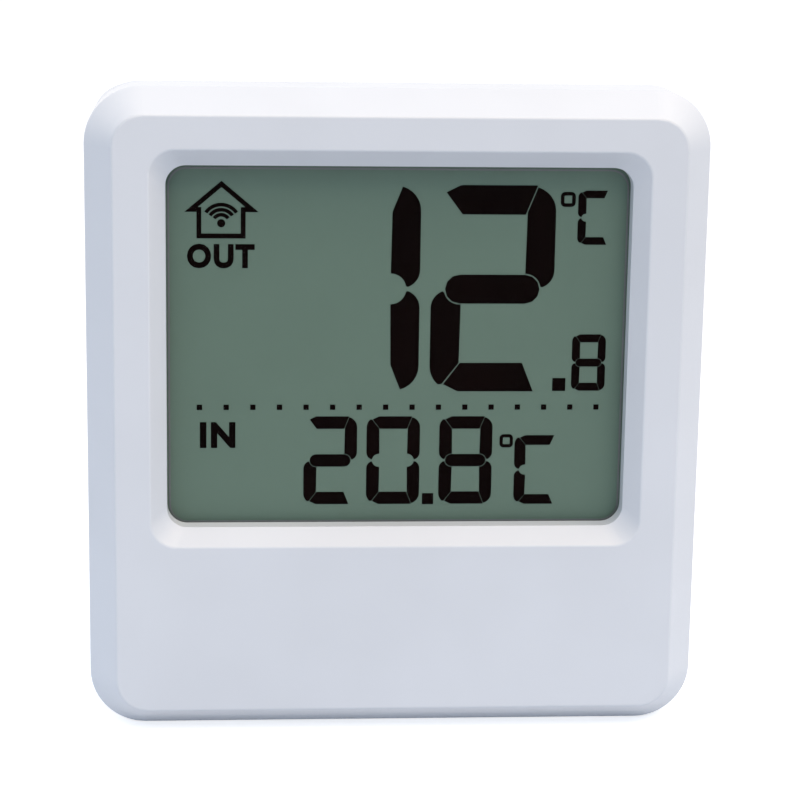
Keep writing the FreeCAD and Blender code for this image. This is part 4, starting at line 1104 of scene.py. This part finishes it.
def print_words(name, words, middle, low, height, surface, body, material, rod=None):
    """Print words on a surface that faces the rear, centred on a place across it."""
    mesh = text_mesh(words, PRINT_WORD_SPACING)
    across = [vert.co.x for vert in mesh.verts]
    up = [vert.co.z for vert in mesh.verts]
    width = height * (max(across) - min(across)) / (max(up) - min(up))
    front = surface - PRINT_SINK
    back = surface + PRINT_THICKNESS
    left = middle - width / 2
    right = middle + width / 2
    fit_words(mesh, left, right, low, low + height, front, back, faces_rear=True)
    if rod:
        wrap_round(mesh, *rod)
    finish_piece(name, mesh, use_finish(material), body)


class STATION_OT_button_words(bpy.types.Operator):
    """Print above each rear button what it does"""

    bl_idname = "station.button_words"
    bl_label = "Print Button Words"

    def execute(self, context):
        for button, words in (("memory", "MEM"), ("clear", "CLEAR"), ("unit", "C / F")):
            low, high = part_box(f"{button}_button")
            middle = (low.x + high.x) / 2
            low_edge = (low.z + high.z) / 2 + BUTTON_WORD_RISE
            place = (middle, low_edge, BUTTON_WORD_HEIGHT, REAR_FACE)
            print_words(f"{button}_word", words, *place, "root", "grey_print")
        return {"FINISHED"}


class STATION_OT_door_marks(bpy.types.Operator):
    """Print the word and the arrow beside the latch of the battery door"""

    bl_idname = "station.door_marks"
    bl_label = "Print Door Marks"

    def execute(self, context):
        top = DOOR_TOP - DOOR_MARK_DROP
        place = (0, top - DOOR_WORD_DROP, DOOR_WORD_HEIGHT, REAR_FACE)
        print_words("door_word", "OPEN", *place, "door", "grey_print")
        mesh = bmesh.new()
        corners = []
        for across, up in DOOR_ARROW:
            spot = (across * MM, REAR_FACE - PRINT_SINK, top + up * MM)
            corners.append(mesh.verts.new(spot))
        thicken(mesh, [mesh.faces.new(corners)], PRINT_SINK + PRINT_THICKNESS)
        finish_piece("door_arrow", mesh, use_finish("grey_print"), "door")
        return {"FINISHED"}


class STATION_OT_cell_prints(bpy.types.Operator):
    """Print the kind and the raised end on each cell"""

    bl_idname = "station.cell_prints"
    bl_label = "Print Cell Sleeves"

    def execute(self, context):
        for node, raised in CELLS.items():
            low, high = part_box(node)
            middle = (low.x + high.x) / 2
            along = (low.y + high.y) / 2
            up = (low.z + high.z) / 2
            for print_name, words, shift, height, finish in (
                ("kind", "AAA  1.5 V", -KIND_SHIFT, KIND_HEIGHT, "pale_print"),
                ("plus", "+", PLUS_SHIFT, PLUS_HEIGHT, "dark_print"),
            ):
                place = (middle + raised * shift, up - height / 2, height, high.y + SLEEVE_LIFT)
                print_words(f"{node}_{print_name}", words, *place, "root", finish, (along, up))
        return {"FINISHED"}


# The floor: half its width, the radii in metres between which it turns from the colour
# near the station to its own, and the strength at which it glows where it is seen
FLOOR_HALF = 3.0
NEAR_RADIUS = 0.07
FAR_RADIUS = 0.30
NEAR_COLOUR = (0.59, 0.62, 0.67)
FLOOR_GLOW = 0.68
WHITE = (1, 1, 1)

# Each lamp's place and size in metres, and its colour
TOP_LAMP = ((0.22, -0.27, 0.73), (0.9, 0.7), (1.0, 0.77, 0.53))
REAR_LAMP = ((-0.55, 0.60, 0.34), (0.7, 0.5), (1.0, 0.84, 0.68))

# How far the camera stands beside and above the line to the middle of the face, and the
# width of its sensor in millimetres
CAMERA_SIDE_STEP = 0.179 * MM
CAMERA_RISE = 2.886 * MM
SENSOR_WIDTH = 36.0


class STATION_OT_studio(bpy.types.Operator):
    """Lay the floor, hang the lamps and set the camera"""

    bl_idname = "station.studio"
    bl_label = "Set Studio"

    def execute(self, context):
        look = context.scene.station_studio
        self.lay_floor(tuple(look.floor_colour))
        self.light(context, look)
        self.set_camera(context, look)
        context.scene.view_settings.view_transform = "Standard"
        return {"FINISHED"}

    def lay_floor(self, colour):
        """Lay the floor, paler and a little bluer near the station."""
        finish = Finish("studio_floor", colour, roughness=0.8)
        reach = finish.node("ShaderNodeVectorMath", operation="LENGTH")
        finish.tree.links.new(finish.place, reach.inputs[0])
        near = finish.node("ShaderNodeMapRange")
        near.inputs["From Min"].default_value = NEAR_RADIUS
        near.inputs["From Max"].default_value = FAR_RADIUS
        finish.tree.links.new(reach.outputs["Value"], near.inputs["Value"])
        tone = finish.ramp(near.outputs["Result"], (0.0, NEAR_COLOUR), (1.0, colour))
        finish.feed(tone, "Base Color")
        glow = finish.node("ShaderNodeMapRange")
        glow.inputs["To Max"].default_value = FLOOR_GLOW
        finish.tree.links.new(seen_straight(finish.tree), glow.inputs["Value"])
        finish.shader.inputs["Emission Color"].default_value = (*WHITE, 1)
        finish.feed(glow.outputs["Result"], "Emission Strength")
        mesh = bmesh.new()
        bmesh.ops.create_grid(mesh, x_segments=2, y_segments=2, size=FLOOR_HALF)
        data = bpy.data.meshes.new("studio_floor")
        mesh.to_mesh(data)
        mesh.free()
        data.materials.append(finish.material)
        floor = bpy.data.objects.new("studio_floor", data)
        bpy.context.scene.collection.objects.link(floor)

    def light(self, context, look):
        """Light the station evenly from all sides and from two soft lamps."""
        world = bpy.data.worlds.new("studio_sky")
        world.use_nodes = True
        context.scene.world = world
        tree = world.node_tree
        tree.nodes.clear()
        output = tree.nodes.new("ShaderNodeOutputWorld")
        choice = tree.nodes.new("ShaderNodeMixShader")
        tree.links.new(seen_straight(tree), choice.inputs[0])
        lit = (look.sky_colour, look.sky_strength)
        seen = (WHITE, 1)
        for place, (colour, strength) in enumerate((lit, seen), start=1):
            sky = tree.nodes.new("ShaderNodeBackground")
            sky.inputs["Color"].default_value = (*colour, 1)
            sky.inputs["Strength"].default_value = strength
            tree.links.new(sky.outputs["Background"], choice.inputs[place])
        tree.links.new(choice.outputs["Shader"], output.inputs["Surface"])
        self.hang_lamp("top_lamp", look.top_power, *TOP_LAMP)
        self.hang_lamp("rear_lamp", look.rear_power, *REAR_LAMP)

    def hang_lamp(self, name, power, spot, size, colour):
        """Hang a soft lamp that faces the station."""
        data = bpy.data.lights.new(name, "AREA")
        data.shape = "RECTANGLE"
        data.size, data.size_y = size
        data.energy = power
        data.color = colour
        lamp = bpy.data.objects.new(name, data)
        lamp.location = spot
        aim = FACE_CENTRE - lamp.location
        lamp.rotation_euler = aim.to_track_quat("-Z", "Y").to_euler()
        bpy.context.scene.collection.objects.link(lamp)

    def set_camera(self, context, look):
        """Aim the camera as the photograph was taken."""
        turn = (
            Matrix.Rotation(look.camera_roll, 3, "Y")
            @ Matrix.Rotation(look.camera_tilt, 3, "X")
            @ Matrix.Rotation(look.camera_turn, 3, "Z")
        )
        right, forward, up = turn
        away = forward * look.camera_distance
        spot = FACE_CENTRE + right * CAMERA_SIDE_STEP - away + up * CAMERA_RISE
        data = bpy.data.cameras.new("photo_camera")
        data.sensor_width = SENSOR_WIDTH
        data.lens = look.camera_lens
        camera = bpy.data.objects.new("photo_camera", data)
        facing = Matrix((right, up, -forward)).transposed().to_4x4()
        camera.matrix_world = Matrix.Translation(spot) @ facing
        context.scene.collection.objects.link(camera)
        context.scene.camera = camera


class STATION_PT_panel(bpy.types.Panel):
    """Buttons and values for dressing the station"""

    bl_idname = "STATION_PT_panel"
    bl_label = "Temperature Station"
    bl_space_type = "VIEW_3D"
    bl_region_type = "UI"
    bl_category = "Station"

    def draw(self, context):
        for group in ("station_housing", "station_display", "station_studio"):
            box = self.layout.box()
            looks = getattr(context.scene, group)
            for name in looks.__annotations__:
                box.prop(looks, name)
        for operator in OPERATORS:
            self.layout.operator(operator.bl_idname)


OPERATORS = (
    STATION_OT_finishes,
    STATION_OT_display_sheet,
    STATION_OT_outdoor_reading,
    STATION_OT_indoor_reading,
    STATION_OT_dotted_line,
    STATION_OT_house_mark,
    STATION_OT_place_words,
    STATION_OT_button_words,
    STATION_OT_door_marks,
    STATION_OT_cell_prints,
    STATION_OT_studio,
)
LOOKS = {
    "station_housing": StationHousingLook,
    "station_display": StationDisplayLook,
    "station_studio": StationStudioLook,
}


def register():
    for look in LOOKS.values():
        bpy.utils.register_class(look)
    for operator in OPERATORS:
        bpy.utils.register_class(operator)
    bpy.utils.register_class(STATION_PT_panel)
    for name, look in LOOKS.items():
        setattr(bpy.types.Scene, name, bpy.props.PointerProperty(type=look))


def unregister():
    for name in LOOKS:
        delattr(bpy.types.Scene, name)
    bpy.utils.unregister_class(STATION_PT_panel)
    for operator in reversed(OPERATORS):
        bpy.utils.unregister_class(operator)
    for look in reversed(list(LOOKS.values())):
        bpy.utils.unregister_class(look)


def main():
    register()
    bpy.ops.station.finishes()
    bpy.ops.station.display_sheet()
    bpy.ops.station.outdoor_reading()
    bpy.ops.station.indoor_reading()
    bpy.ops.station.dotted_line()
    bpy.ops.station.house_mark()
    bpy.ops.station.place_words()
    bpy.ops.station.button_words()
    bpy.ops.station.door_marks()
    bpy.ops.station.cell_prints()
    bpy.ops.station.studio()


if __name__ == "__main__":
    main()
